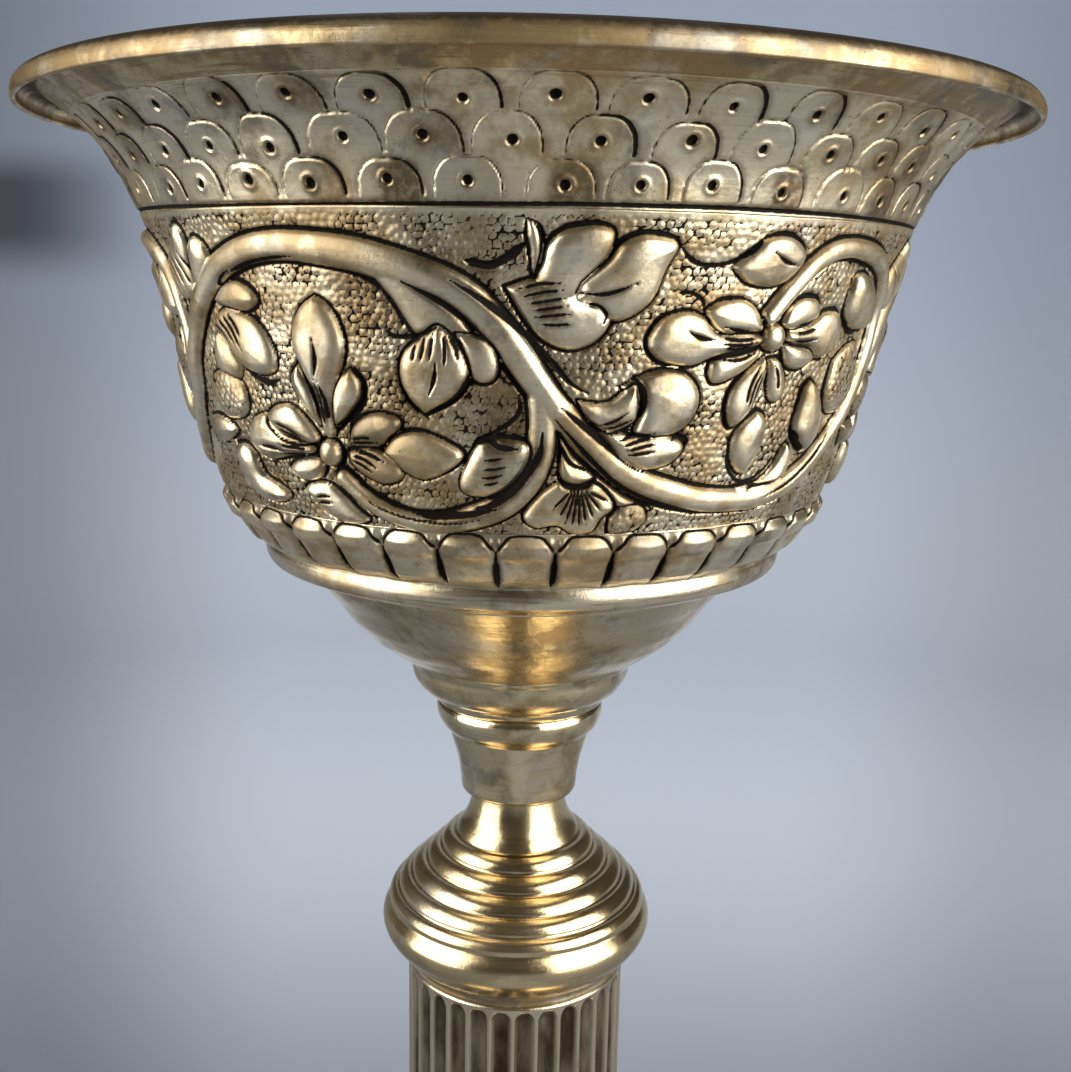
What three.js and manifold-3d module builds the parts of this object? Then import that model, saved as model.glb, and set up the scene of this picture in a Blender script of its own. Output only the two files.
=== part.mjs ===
// A standing vessel of silver-plated brass, as a scene graph of separate solids.
// A chased bowl with a turned-down lip screws onto a stem: knop, fluted column and round foot,
// all clamped on one threaded rod. Millimetres, +Z up, origin at the centre of the resting face.
import * as THREE from "three";
import Module from "manifold-3d";
import { mergeVertices } from "three/addons/utils/BufferGeometryUtils.js";

const wasm = await Module();
wasm.setup();

// Driving dimensions
const RIM_Z = 340; // plane of the rim, from which heights on the bowl and stem are counted
const RIM_R = 90.2; // outside of the turned-down lip
const SHEET = 0.9; // spun and raised sheet
const GAP = 0.3; // between neighbours that touch
const COLUMN_R = 23; // crest of the flutes
const COLUMN_BOTTOM = 66;
const COLUMN_TOP = 168;
const FLUTES = 30;
const LARGE_ROUND = 36; // sides of the bowl and foot
const SMALL_ROUND = 30; // sides of everything on the stem
const HOLE_ROUND = 24;
const FOOT_R = 68;
const ROD_R = 4;
const BORE_R = 4.5; // clearance hole for the rod, across its flats
const THREAD_TURNS = 6; // to unscrew the bowl
const THREAD_PITCH = 1.25; // M8

const silver = { roughness: 0.3, metalness: 1 };
const finish = (color, more = silver) => new THREE.MeshStandardMaterial({ color, ...more });
const materials = {
  chased: finish(0xb8a98a),
  plated: finish(0xc2b391),
  brass: finish(0xbfa468),
  steel: finish(0x9a9a98, { roughness: 0.45, metalness: 1 }),
  iron: finish(0x3c3a38, { roughness: 0.8, metalness: 0.6 }),
  fibre: finish(0x6b3f2a, { roughness: 0.8, metalness: 0 }),
  felt: finish(0x2e4a35, { roughness: 1, metalness: 0 }),
};

const vessel = new THREE.Group();

function add(name, geometry, material) {
  const mesh = new THREE.Mesh(geometry, material);
  mesh.name = name;
  vessel.add(mesh);
  return mesh;
}

// A closed outline in (radius, height), turned about Z.
function turned(outline, segments) {
  const points = outline.map(([r, z]) => new THREE.Vector2(r, z));
  const onAxis = points[0].x === 0 && points.at(-1).x === 0;
  if (!onAxis) points.push(points[0].clone());
  return new THREE.LatheGeometry(points, segments).rotateX(Math.PI / 2);
}

// Points on an arc about (r, z), from one angle to another in degrees, both ends included.
function arc(r, z, radius, from, to, steps) {
  return Array.from({ length: steps + 1 }, (_, i) => {
    const a = THREE.MathUtils.degToRad(from + ((to - from) * i) / steps);
    return [r + radius * Math.cos(a), z + radius * Math.sin(a)];
  });
}

// A smooth line through a few (radius, height) points.
function smooth(points, steps) {
  const curve = new THREE.SplineCurve(points.map(([r, z]) => new THREE.Vector2(r, z)));
  return curve.getPoints(steps).map((p) => [p.x, p.y]);
}

// The closed outline of a sheet of even thickness whose middle follows a line.
function sheetAlong(line, thickness) {
  const side = (offset) =>
    line.map(([r, z], i) => {
      const [r0, z0] = line[Math.max(i - 1, 0)];
      const [r1, z1] = line[Math.min(i + 1, line.length - 1)];
      const length = Math.hypot(r1 - r0, z1 - z0);
      return [Math.max(r + (offset * (z1 - z0)) / length, 0), z - (offset * (r1 - r0)) / length];
    });
  return [...side(thickness / 2), ...side(-thickness / 2).reverse()];
}

// A ring of even section: inner and outer radius, bottom and top.
function ring(inner, outer, bottom, top) {
  return [
    [inner, bottom],
    [outer, bottom],
    [outer, top],
    [inner, top],
  ];
}

function solid(geometry) {
  const bare = geometry.clone();
  bare.deleteAttribute("normal");
  bare.deleteAttribute("uv");
  const merged = mergeVertices(bare, 1e-4);
  return new wasm.Manifold(
    new wasm.Mesh({
      numProp: 3,
      vertProperties: merged.getAttribute("position").array,
      triVerts: new Uint32Array(merged.index.array),
    }),
  );
}

function geometryOf(manifold) {
  const made = manifold.getMesh();
  const geometry = new THREE.BufferGeometry();
  geometry.setAttribute("position", new THREE.BufferAttribute(made.vertProperties, 3));
  geometry.setIndex(new THREE.BufferAttribute(made.triVerts, 1));
  return geometry;
}

// Bowl: one raised sheet from its dished floor to the lip, which turns outward and down.
const LIP_R = 2.9; // outside of the turn
const LIP_CENTRE = [RIM_R - LIP_R, RIM_Z - 2.2];
const BOWL_FLOOR = RIM_Z - 87;

// The floor nests inside the calyx; the plain moulding above it is raised in the same sheet.
function bowlLine() {
  const floor = [
    [0, BOWL_FLOOR],
    [36, BOWL_FLOOR + 0.2],
    [40, BOWL_FLOOR + 1.1],
  ];
  const moulding = [
    [43, RIM_Z - 84.4],
    [47.4, RIM_Z - 82.4],
    [50, RIM_Z - 78.8],
  ];
  const wall = smooth(
    [
      [51.4, RIM_Z - 78],
      [55.2, RIM_Z - 73],
      [57.8, RIM_Z - 67],
      [61.7, RIM_Z - 54],
      [65, RIM_Z - 40],
      [68.1, RIM_Z - 27],
      [71, RIM_Z - 18],
      [75.6, RIM_Z - 10],
      [81.7, RIM_Z - 3],
    ],
    10,
  );
  const lip = arc(...LIP_CENTRE, LIP_R - SHEET / 2, 135, -20, 5);
  return [...floor, ...moulding, ...wall, ...lip];
}

add("bowl_shell", turned(sheetAlong(bowlLine(), SHEET), LARGE_ROUND), materials.chased);

// Calyx: a plain spun cup under the bowl that steps in to the ferrule with a quarter round.
const calyxLine = [
  ...smooth(
    [
      [41.9, RIM_Z - 86.1],
      [37.3, RIM_Z - 91],
      [34.5, RIM_Z - 95],
      [30.7, RIM_Z - 99],
      [26.7, RIM_Z - 102],
      [23.8, RIM_Z - 104.4],
    ],
    6,
  ),
  [22.2, RIM_Z - 105.2],
  [21.9, RIM_Z - 108],
  [20.2, RIM_Z - 110.6],
  [18, RIM_Z - 112.2],
];
add("calyx", turned(sheetAlong(calyxLine.reverse(), SHEET), LARGE_ROUND), materials.plated);

// Ferrule: a spun socket below a second quarter round; it hides the top of the knop's neck.
const FERRULE_TOP = RIM_Z - 113.3;
const FERRULE_BOTTOM = RIM_Z - 134.5;
const ferruleLine = [
  [11.2, FERRULE_BOTTOM + SHEET / 2],
  [11.4, RIM_Z - 131],
  [12, RIM_Z - 127.5],
  [12.9, RIM_Z - 124],
  [13.7, RIM_Z - 121.9],
  [15.4, RIM_Z - 119.8],
  [16.8, RIM_Z - 117],
  [17.1, FERRULE_TOP],
];
add("neck_ferrule", turned(sheetAlong(ferruleLine, SHEET), SMALL_ROUND), materials.plated);

// Threaded boss: soldered into the ferrule and the calyx; the bowl screws onto the rod with it.
const BOSS_BOTTOM = RIM_Z - 121.9;
const BOSS_TOP = RIM_Z - 106;
const ROD_TOP = BOSS_BOTTOM + THREAD_TURNS * THREAD_PITCH + 0.5;
const threadedBoss = [
  [0, ROD_TOP + GAP],
  [BORE_R, ROD_TOP + GAP],
  [BORE_R, BOSS_BOTTOM],
  [9, BOSS_BOTTOM],
  [9, BOSS_BOTTOM + 4.4],
  [15.8, BOSS_BOTTOM + 6.4],
  [15.8, BOSS_TOP],
  [0, BOSS_TOP],
];
add("threaded_boss", turned(threadedBoss, SMALL_ROUND), materials.brass);

// Washers and nuts on the rod
const NUT_FLATS = 13;

function washer(name, bottom, thickness, outer, material) {
  add(name, turned(ring(BORE_R, outer, bottom, bottom + thickness), HOLE_ROUND), material);
}

function hexNut(name, bottom, height) {
  const hexagon = new THREE.CylinderGeometry(
    NUT_FLATS / Math.sqrt(3),
    NUT_FLATS / Math.sqrt(3),
    height,
    6,
  ).rotateX(Math.PI / 2);
  const hole = new THREE.CylinderGeometry(BORE_R, BORE_R, height * 2, HOLE_ROUND).rotateX(Math.PI / 2);
  const nut = geometryOf(solid(hexagon).subtract(solid(hole)));
  add(name, nut, materials.brass).position.z = bottom + height / 2;
}

const KNOP_TOP = RIM_Z - 130;
const STEM_NUT_BOTTOM = KNOP_TOP + 2 * GAP + 1.2;
const STEM_NUT_HEIGHT = 4.5;
const SEAT_BOTTOM = STEM_NUT_BOTTOM + STEM_NUT_HEIGHT + GAP;
washer("stem_washer", KNOP_TOP + GAP, 1.2, 8.2, materials.steel);
hexNut("stem_nut", STEM_NUT_BOTTOM, STEM_NUT_HEIGHT);
washer("seat_washer", SEAT_BOTTOM, BOSS_BOTTOM - GAP - SEAT_BOTTOM, 8, materials.fibre);

// Knop: turned casting with a concave neck, five reeds on its shoulder and a broad roll.
const REED_GROOVES = [
  [13.2, RIM_Z - 143.8],
  [15.9, RIM_Z - 147],
  [18.9, RIM_Z - 150],
  [22, RIM_Z - 153],
  [24.8, RIM_Z - 156],
  [26.8, RIM_Z - 159],
];
const REED_BULGE = 0.85;
const KNOP_BOTTOM = RIM_Z - 169;

// A bulge between two grooves: its middle stands proud, and its quarter points most of that.
function reed([r0, z0], [r1, z1]) {
  const length = Math.hypot(r1 - r0, z1 - z0);
  const out = [(z0 - z1) / length, (r1 - r0) / length];
  return [0, 0.35, 0.65].map((t) => {
    const height = REED_BULGE * Math.sin(Math.PI * t);
    return [r0 + (r1 - r0) * t + out[0] * height, z0 + (z1 - z0) * t + out[1] * height];
  });
}

const knopOutside = [
  [9.4, KNOP_TOP],
  [9.6, RIM_Z - 135.5],
  [10.2, RIM_Z - 138.5],
  [11.4, RIM_Z - 141.2],
  ...REED_GROOVES.slice(1).flatMap((groove, i) => reed(REED_GROOVES[i], groove)),
  REED_GROOVES.at(-1),
  ...arc(23.4, RIM_Z - 163.4, 4.9, 30, -55, 5),
  [24.4, KNOP_BOTTOM],
];
const knopInside = [
  [21.4, KNOP_BOTTOM],
  [24, RIM_Z - 163],
  [20, RIM_Z - 155],
  [12, RIM_Z - 147.5],
  [BORE_R, RIM_Z - 145],
  [BORE_R, KNOP_TOP],
];
add("knop", turned([...knopOutside, ...knopInside].reverse(), SMALL_ROUND), materials.brass);

// Collars: plain bands that close the column, each with a spigot inside the tube.
const TUBE_INNER_R = 20.4;
const SPIGOT_R = TUBE_INNER_R - GAP;
const COLLAR_HEIGHT = RIM_Z - 169 - GAP - COLUMN_TOP;
const SPIGOT_LENGTH = 6;

// way is 1 where the band is above the tube's end, and -1 where it is below it.
function collar(name, end, way) {
  const face = end + way * GAP;
  const outline = [
    [18, end - way * SPIGOT_LENGTH],
    [SPIGOT_R, end - way * SPIGOT_LENGTH],
    [SPIGOT_R, face],
    [COLUMN_R + 0.2, face],
    [COLUMN_R + 1, end + way * COLLAR_HEIGHT],
    [18, end + way * COLLAR_HEIGHT],
  ];
  add(name, turned(way > 0 ? outline : outline.reverse(), SMALL_ROUND), materials.plated);
}

collar("top_collar", COLUMN_TOP, 1);
collar("bottom_collar", COLUMN_BOTTOM, -1);

// Column: a tube with concave flutes round its outside.
const FLUTE_DEPTH = 1.1;
const POINTS_IN_FLUTE = 4;

function flutedColumn() {
  const outline = new THREE.Shape();
  const count = FLUTES * POINTS_IN_FLUTE;
  for (let i = 0; i < count; i++) {
    const across = (i % POINTS_IN_FLUTE) / POINTS_IN_FLUTE;
    const r = COLUMN_R - FLUTE_DEPTH * Math.sin(Math.PI * across);
    const a = (2 * Math.PI * i) / count;
    if (i) outline.lineTo(r * Math.cos(a), r * Math.sin(a));
    else outline.moveTo(r, 0);
  }
  outline.closePath();
  outline.holes.push(new THREE.Path().absarc(0, 0, TUBE_INNER_R, 0, 2 * Math.PI, true));
  return new THREE.ExtrudeGeometry(outline, {
    depth: COLUMN_TOP - COLUMN_BOTTOM,
    bevelEnabled: false,
    curveSegments: HOLE_ROUND,
  }).translate(0, 0, COLUMN_BOTTOM);
}

add("column", flutedColumn(), materials.brass);

// Foot knop: a turned ring between the column and the foot.
const FOOT_KNOP_TOP = COLUMN_BOTTOM - COLLAR_HEIGHT - GAP;
const FOOT_KNOP_BOTTOM = 52;
const footKnop = [
  [18, FOOT_KNOP_BOTTOM],
  [25.6, FOOT_KNOP_BOTTOM],
  [25.2, FOOT_KNOP_BOTTOM + 1.6],
  ...arc(24, FOOT_KNOP_BOTTOM + 6.4, 4.4, -70, 70, 6),
  [24.4, FOOT_KNOP_TOP],
  [18, FOOT_KNOP_TOP],
];
add("foot_knop", turned(footKnop, SMALL_ROUND), materials.brass);

// Foot: a spun shell that flares in an ogee to a stepped, rolled edge.
const FOOT_SHEET = 1.2;
const FOOT_TOP = FOOT_KNOP_BOTTOM - GAP;
const FOOT_BOTTOM = 3.2;
const footLine = [
  [6, FOOT_TOP - FOOT_SHEET / 2],
  [24.6, FOOT_TOP - FOOT_SHEET / 2],
  [25.8, FOOT_TOP - 2.6],
  [27.6, 43.5],
  [32.8, 36.6],
  [40, 31.6],
  [48.6, 28],
  ...arc(50, 13.6, 11.4, 84, 8, 4),
  [62.6, 10.2],
  [65.2, 9.2],
  ...arc(FOOT_R - FOOT_SHEET / 2 - 2.9, 6.2, 2.9, 50, -60, 3),
  [FOOT_R - 3.6, FOOT_BOTTOM + FOOT_SHEET / 2],
];
add("foot_shell", turned(sheetAlong(footLine.reverse(), FOOT_SHEET), LARGE_ROUND), materials.plated);

// Ballast: an iron weight drawn up inside the foot by the rod's lower nut.
const BALLAST_BOTTOM = 15;
const ballast = [
  [BORE_R, BALLAST_BOTTOM + 6],
  [14, BALLAST_BOTTOM + 6],
  [14, BALLAST_BOTTOM],
  [46, BALLAST_BOTTOM],
  [46, 24],
  [38, 29],
  [30, 35],
  [24.2, 43],
  [22.6, FOOT_TOP - FOOT_SHEET - GAP],
  [BORE_R, FOOT_TOP - FOOT_SHEET - GAP],
];
add("ballast", turned(ballast, SMALL_ROUND), materials.iron);

const LOWER_FACE = BALLAST_BOTTOM + 6;
const LOWER_NUT_HEIGHT = 6.5;
washer("lower_washer", LOWER_FACE - GAP - 1.6, 1.6, 12, materials.steel);
washer("lock_washer", LOWER_FACE - 2 * GAP - 3.2, 1.6, 7.2, materials.steel);
const LOWER_NUT_BOTTOM = LOWER_FACE - 3 * GAP - 3.2 - LOWER_NUT_HEIGHT;
hexNut("lower_nut", LOWER_NUT_BOTTOM, LOWER_NUT_HEIGHT);

// Tie rod: one threaded rod through the whole stem.
const tieRod = [
  [0, LOWER_NUT_BOTTOM - 2],
  [ROD_R, LOWER_NUT_BOTTOM - 2],
  [ROD_R, ROD_TOP],
  [0, ROD_TOP],
];
add("tie_rod", turned(tieRod, HOLE_ROUND), materials.steel);

// Base cover and felt: they close the foot and are what the vessel stands on.
const FELT = 2;
const COVER_R = FOOT_R - 7;
add(
  "base_cover",
  turned([[0, FELT], [COVER_R, FELT], [COVER_R, FELT + 0.8], [0, FELT + 0.8]], LARGE_ROUND),
  materials.steel,
);
add(
  "felt_pad",
  turned([[0, 0], [COVER_R, 0], [COVER_R, FELT - GAP], [0, FELT - GAP]], LARGE_ROUND),
  materials.felt,
);

export default vessel;
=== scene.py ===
"""The looks of a worn, silver-plated standing vessel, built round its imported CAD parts.

Lengths are in millimetres until a mesh is made. Heights on the bowl and stem are counted from the plane
of the rim, so they are negative. Angles go round the axis in degrees: 0 faces the camera, and they grow
to the right.
"""

import math

import bpy
import numpy as np
from mathutils import Matrix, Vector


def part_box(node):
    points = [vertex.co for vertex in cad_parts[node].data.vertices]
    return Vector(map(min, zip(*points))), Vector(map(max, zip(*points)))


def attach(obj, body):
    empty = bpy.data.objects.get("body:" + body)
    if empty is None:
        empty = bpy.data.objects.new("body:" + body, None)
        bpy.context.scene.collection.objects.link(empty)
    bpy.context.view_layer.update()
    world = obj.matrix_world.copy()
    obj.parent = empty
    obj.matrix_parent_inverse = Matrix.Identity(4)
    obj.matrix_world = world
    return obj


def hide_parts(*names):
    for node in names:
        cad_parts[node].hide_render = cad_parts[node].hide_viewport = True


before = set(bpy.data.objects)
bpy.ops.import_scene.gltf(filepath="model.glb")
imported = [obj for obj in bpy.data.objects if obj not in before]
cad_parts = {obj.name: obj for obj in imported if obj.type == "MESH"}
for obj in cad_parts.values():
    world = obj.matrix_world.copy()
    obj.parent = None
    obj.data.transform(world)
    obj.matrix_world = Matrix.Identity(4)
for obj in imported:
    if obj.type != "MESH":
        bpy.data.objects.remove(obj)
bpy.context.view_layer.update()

MM = 0.001
LIP_R = 2.9  # outside of the lip, which turns outward and down
LIP_DROP = 2.2  # its middle, below the plane of the rim
RIM_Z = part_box("bowl_shell")[1].z / MM - LIP_R + LIP_DROP
RIM_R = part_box("bowl_shell")[1].x / MM
SHEET = 0.9
TOP_OF_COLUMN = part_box("column")[1].z / MM - RIM_Z
FOOT_OF_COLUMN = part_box("column")[0].z / MM - RIM_Z
COLUMN_R = 22.9
FLUTES = 30
FLUTE_DEPTH = 1.15
FOOT_SHEET = 1.2
SCALES = 40  # in each row of the scale band
PETALS = 38  # in the row under the vine
REPEAT = 120  # degrees, from one turn of the vine to the next

# Heights where the chased bands of the bowl begin and end, and the spacing of their grids up the wall.
UNDER_LIP = -4.0
UNDER_SCALES = -20.5
UNDER_VINE = -68.2
UNDER_PETALS = -78.7
GRID = 0.25

# ---------------------------------------------------------------- outlines, in (radius, height)


def arc(r, z, radius, start, end, steps):
    """Points on a circle about (r, z), from one angle in degrees to another."""
    a = np.radians(np.linspace(start, end, steps + 1))
    return [(r + radius * math.cos(t), z + radius * math.sin(t)) for t in a]


def smooth(points, steps):
    """A smooth line through a few points, which it passes in order."""
    p = np.array(points, float)
    p = np.vstack([2 * p[0] - p[1], p, 2 * p[-1] - p[-2]])
    t = np.linspace(0, len(p) - 3, steps + 1)
    i = np.minimum(t.astype(int), len(p) - 4)
    t = (t - i)[:, None]
    a, b, c, d = p[i], p[i + 1], p[i + 2], p[i + 3]
    spline = 2 * b + (c - a) * t + (2 * a - 5 * b + 4 * c - d) * t**2 + (3 * b - a - 3 * c + d) * t**3
    return [tuple(x) for x in spline / 2]


def even(points, spacing):
    """The same line with its points at an even spacing."""
    p = np.array(points, float)
    along = np.concatenate([[0], np.cumsum(np.hypot(*np.diff(p, axis=0).T))])
    want = np.linspace(0, along[-1], max(2, round(along[-1] / spacing) + 1))
    return np.stack([np.interp(want, along, p[:, 0]), np.interp(want, along, p[:, 1])], 1)


def outward(line):
    """The outward direction at each point of a line that runs up the outside of a piece."""
    slope = np.gradient(line, axis=0)
    slope /= np.hypot(*slope.T)[:, None]
    return np.stack([slope[:, 1], -slope[:, 0]], 1)


def bulge(start, end, height, steps=10):
    """A bead between two grooves, standing height proud of the straight line between them."""
    (r0, z0), (r1, z1) = start, end
    length = math.hypot(r1 - r0, z1 - z0)
    out = ((z0 - z1) / length, (r1 - r0) / length)
    found = []
    for i in range(1, steps):
        across = 2 * i / steps - 1
        h = height * math.sqrt(1 - across**2)
        t = i / steps
        found.append((r0 + (r1 - r0) * t + out[0] * h, z0 + (z1 - z0) * t + out[1] * h))
    return found


# ---------------------------------------------------------------- meshes


def quads(rows, columns, closed_round, closed_up=False):
    """Corner numbers of the faces of a grid of vertices, which can close on itself either way."""
    index = np.arange(rows * columns).reshape(rows, columns)
    if closed_round:
        index = np.hstack([index, index[:, :1]])
    if closed_up:
        index = np.vstack([index, index[:1]])
    return np.stack([index[:-1, :-1], index[:-1, 1:], index[1:, 1:], index[1:, :-1]], -1).reshape(-1, 4)


def mesh_of(name, points, faces):
    """A smooth-shaded object from vertices in millimetres, counted from the rim, and four-cornered faces."""
    mesh = bpy.data.meshes.new(name)
    mesh.vertices.add(len(points))
    mesh.vertices.foreach_set("co", ((points + (0, 0, RIM_Z)) * MM).astype(np.float32).ravel())
    mesh.loops.add(faces.size)
    mesh.loops.foreach_set("vertex_index", faces.astype(np.int32).ravel())
    mesh.polygons.add(len(faces))
    mesh.polygons.foreach_set("loop_start", np.arange(0, faces.size, 4, dtype=np.int32))
    mesh.update(calc_edges=True)
    mesh.validate()
    mesh.polygons.foreach_set("use_smooth", np.ones(len(mesh.polygons), bool))
    piece = bpy.data.objects.new(name, mesh)
    bpy.context.scene.collection.objects.link(piece)
    return piece


def revolve(profile, angle):
    """Vertices of a profile of (radius, height) turned through the angles: rows up, columns round."""
    a = np.radians(angle)[None, :]
    r, z = np.array(profile, float).T
    return np.stack([r[:, None] * np.sin(a), -r[:, None] * np.cos(a), z[:, None] + 0 * a], -1)


def turned(name, outline, around):
    """A piece turned on a lathe, from a closed outline that runs up its outside and down its inside."""
    points = revolve(outline, np.arange(around) * 360 / around)
    return mesh_of(name, points.reshape(-1, 3), quads(len(outline), around, True, True))


def add_layer(piece, name, values):
    """A number at each vertex, which the material reads by this name."""
    layer = piece.data.attributes.new(name, "FLOAT", "POINT")
    layer.data.foreach_set("value", values.astype(np.float32).ravel())


def dress(piece, material, body, slot, *nodes):
    """The piece gets its material, the body it rides on and the CAD nodes that it replaces. slot is not used.
    """
    piece.data.materials.append(material)
    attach(piece, body)
    if nodes:
        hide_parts(*nodes)
    return piece


# ---------------------------------------------------------------- the bowl's shape

# Its plain outside, from the moulding under the petals up to the lip.
WALL = [
    (43.3, -84.9), (46.6, -83.9), (49.2, -81.6), (50.3, -78.7), (52.3, -77.4), (54.2, -75.2),
    (56.3, -71.6), (58.3, -66.6), (60.3, -60.5), (62.1, -54), (63.8, -47), (65.3, -40), (66.5, -34),
    (67.7, -29.5), (69.2, -24.5), (71, -19.5), (73.2, -14.5), (76.2, -9.7), (79.6, -5.8),
    (82.7, -3.1), (85.9, -0.8),
]


def bowl_wall(low, high, spacing):
    """The bowl's plain outside between two heights, at an even spacing along the wall."""
    line = np.array(smooth(WALL, 600))
    r = np.interp([low, high], line[:, 1], line[:, 0])
    inside = line[(line[:, 1] > low) & (line[:, 1] < high)]
    return even([(r[0], low), *inside, (r[1], high)], spacing)


# ---------------------------------------------------------------- chasing


def ramp(value, low, high):
    """0 below low, 1 above high and smooth between them."""
    t = np.clip((value - low) / (high - low), 0, 1)
    return t * t * (3 - 2 * t)


EDGE_DEPTH = 0.45  # of the line that the chaser cuts round a form


class Chasing:
    """The chasing on a band of the bowl, over a grid of angle and length up the wall.

    Height is in millimetres. black is how much oxide lies in the cuts, stain is how dark the metal is round
    them, matting is where the ground is punched, and formed is where a form covers it. A path is a few
    (angle, level) points, and every size across it is in millimetres.
    """

    def __init__(self, angle, wall, turns=(-360, 0, 360)):
        self.wall = wall
        self.degree = math.radians(wall[:, 0].mean())  # its length round the bowl
        self.turns = turns
        self.angle = angle
        self.x = angle * self.degree
        self.y = np.concatenate([[0], np.cumsum(np.hypot(*np.diff(wall, axis=0).T))])
        shape = (len(self.y), len(angle))
        self.height = np.zeros(shape)
        self.black = np.zeros(shape)
        self.matting = np.zeros(shape)
        self.stain = np.zeros(shape)
        self.formed = np.zeros(shape)
        self.random = np.random.default_rng(7)

    def up(self, level):
        """The length up the wall at a height."""
        return np.interp(level, self.wall[:, 1], self.y)

    def measure(self, path, turn, reach):
        """The grid near a path: its slices, the place along the path, the distance off it and the side."""
        flat = [((a + turn) * self.degree, self.up(z)) for a, z in path]
        line = even(smooth(flat, 12 * len(path)), 0.3)
        columns = np.stack([np.searchsorted(self.x, line[:, 0] + d) for d in (-reach, reach)], 1)
        rows = np.stack([np.searchsorted(self.y, line[:, 1] + d) for d in (-reach, reach)], 1)
        part = (slice(rows.min(), rows.max()), slice(columns.min(), columns.max()))
        if rows.min() == rows.max() or columns.min() == columns.max():
            return None
        corner = (rows.min(), columns.min())
        best = np.full((rows.max() - corner[0], columns.max() - corner[1]), 1e9)
        place = np.zeros(best.shape, int)
        for k, (x, y) in enumerate(line):
            here = (slice(*(rows[k] - corner[0])), slice(*(columns[k] - corner[1])))
            dx = self.x[slice(*columns[k])] - x
            dy = self.y[slice(*rows[k])] - y
            off = dx[None, :] ** 2 + dy[:, None] ** 2
            closer = off < best[here]
            best[here][closer] = off[closer]
            place[here][closer] = k
        along = np.gradient(line, axis=0)
        along /= np.hypot(*along.T)[:, None]
        dx = self.x[part[1]][None, :] - line[place, 0]
        dy = self.y[part[0]][:, None] - line[place, 1]
        side = along[place, 0] * dy - along[place, 1] * dx
        return part, place / (len(line) - 1), np.sqrt(best), side

    def raise_form(self, part, inside, rise, edge, over):
        """Adds a form to part of the grid: over the others, or joined with them in one surface."""
        cover = ramp(inside, -0.05, 0.3)
        if over:
            self.height[part] = self.height[part] * (1 - cover) + rise * cover
        else:
            edge = edge * (1 - self.formed[part])
            self.height[part] = np.maximum(self.height[part], rise * cover)
        self.height[part] -= EDGE_DEPTH * edge
        self.black[part] = np.maximum(self.black[part] * (1 - cover), edge)
        self.matting[part] *= 1 - cover
        self.formed[part] = np.maximum(self.formed[part], cover)

    def form(self, path, widths, height, over=True):
        """A raised form whose half widths lie at even places along its path."""
        stations = np.array(smooth([(i, w) for i, w in enumerate(widths)], 10 * len(widths)))
        stations[:, 0] /= len(widths) - 1
        reach = max(widths) + 1.5
        thickness = self.random.uniform(0.7, 1.25, 4)
        for turn in self.turns:
            found = self.measure(path, turn, reach)
            if found is None:
                continue
            part, place, off, side = found
            width = np.maximum(np.interp(place, stations[:, 0], stations[:, 1]), 0.05)
            inside = width - off
            across = np.clip(np.abs(side) / width, 0, 1)
            shoulder = np.clip(inside / np.minimum(0.8 * width, 2.4), 0, 1)
            rise = height * np.sqrt(1 - (1 - shoulder) ** 2) * (1 - 0.25 * across**2)
            swell = np.interp(place, np.linspace(0, 1, 4), thickness)
            edge = np.exp(-(((inside + 0.16) / (0.26 * swell)) ** 2))
            self.raise_form(part, inside, rise, edge, over)

    def within(self, outline, turn):
        """The grid over a closed outline: its slices, the place round it and the distance inside it."""
        flat = [((a + turn) * self.degree, self.up(z)) for a, z in outline]
        curve = even(smooth([*flat, flat[0]], 8 * len(flat)), 0.2)[:-1]
        columns = slice(*np.searchsorted(self.x, (curve[:, 0].min() - 1.5, curve[:, 0].max() + 1.5)))
        rows = slice(*np.searchsorted(self.y, (curve[:, 1].min() - 1.5, curve[:, 1].max() + 1.5)))
        if columns.start == columns.stop or rows.start == rows.stop:
            return None
        x = self.x[columns][None, :, None]
        y = self.y[rows][:, None, None]
        ahead = np.roll(curve, -1, axis=0)
        run, rise = (ahead - curve).T
        with np.errstate(divide="ignore", invalid="ignore"):
            crossing = (y - curve[:, 1]) / rise * run + curve[:, 0]
        crossed = ((curve[:, 1] > y) != (ahead[:, 1] > y)) & (x < crossing)
        sign = np.where(crossed.sum(-1) % 2, 1, -1)
        off = (x - curve[:, 0]) ** 2 + (y - curve[:, 1]) ** 2
        nearest = off.argmin(-1)
        off = np.sqrt(np.take_along_axis(off, nearest[..., None], -1)[..., 0])
        return (rows, columns), nearest / len(curve), sign * off

    def leaf(self, outline, height, strokes=(), ground=0.0, crease=None, over=True):
        """A raised form inside a closed outline, with the strokes and the crease that are cut in it.

        ground is how far it is punched like the ground round it.
        """
        thickness = self.random.uniform(0.35, 1.6, 7)
        thickness[-1] = thickness[0]
        for turn in self.turns:
            found = self.within(outline, turn)
            if found is None:
                continue
            part, place, inside = found
            shoulder = np.clip(inside / 2.3, 0, 1)
            rise = height * (0.85 * np.sqrt(1 - (1 - shoulder) ** 2) + 0.06 * np.clip(inside, 0, 4))
            swell = np.interp(place, np.linspace(0, 1, 7), thickness)
            edge = 0.9 * np.exp(-(((inside + 0.16) / (0.24 * swell)) ** 2))
            self.raise_form(part, inside, rise, edge, over)
            self.matting[part] = np.maximum(self.matting[part], ground * ramp(inside, 0.3, 0.7))
        for stroke in strokes:
            self.line(stroke, 0.24, 0.28)
        if crease:
            self.line(crease, 0.34, 0.5, taper=0.5)

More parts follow.
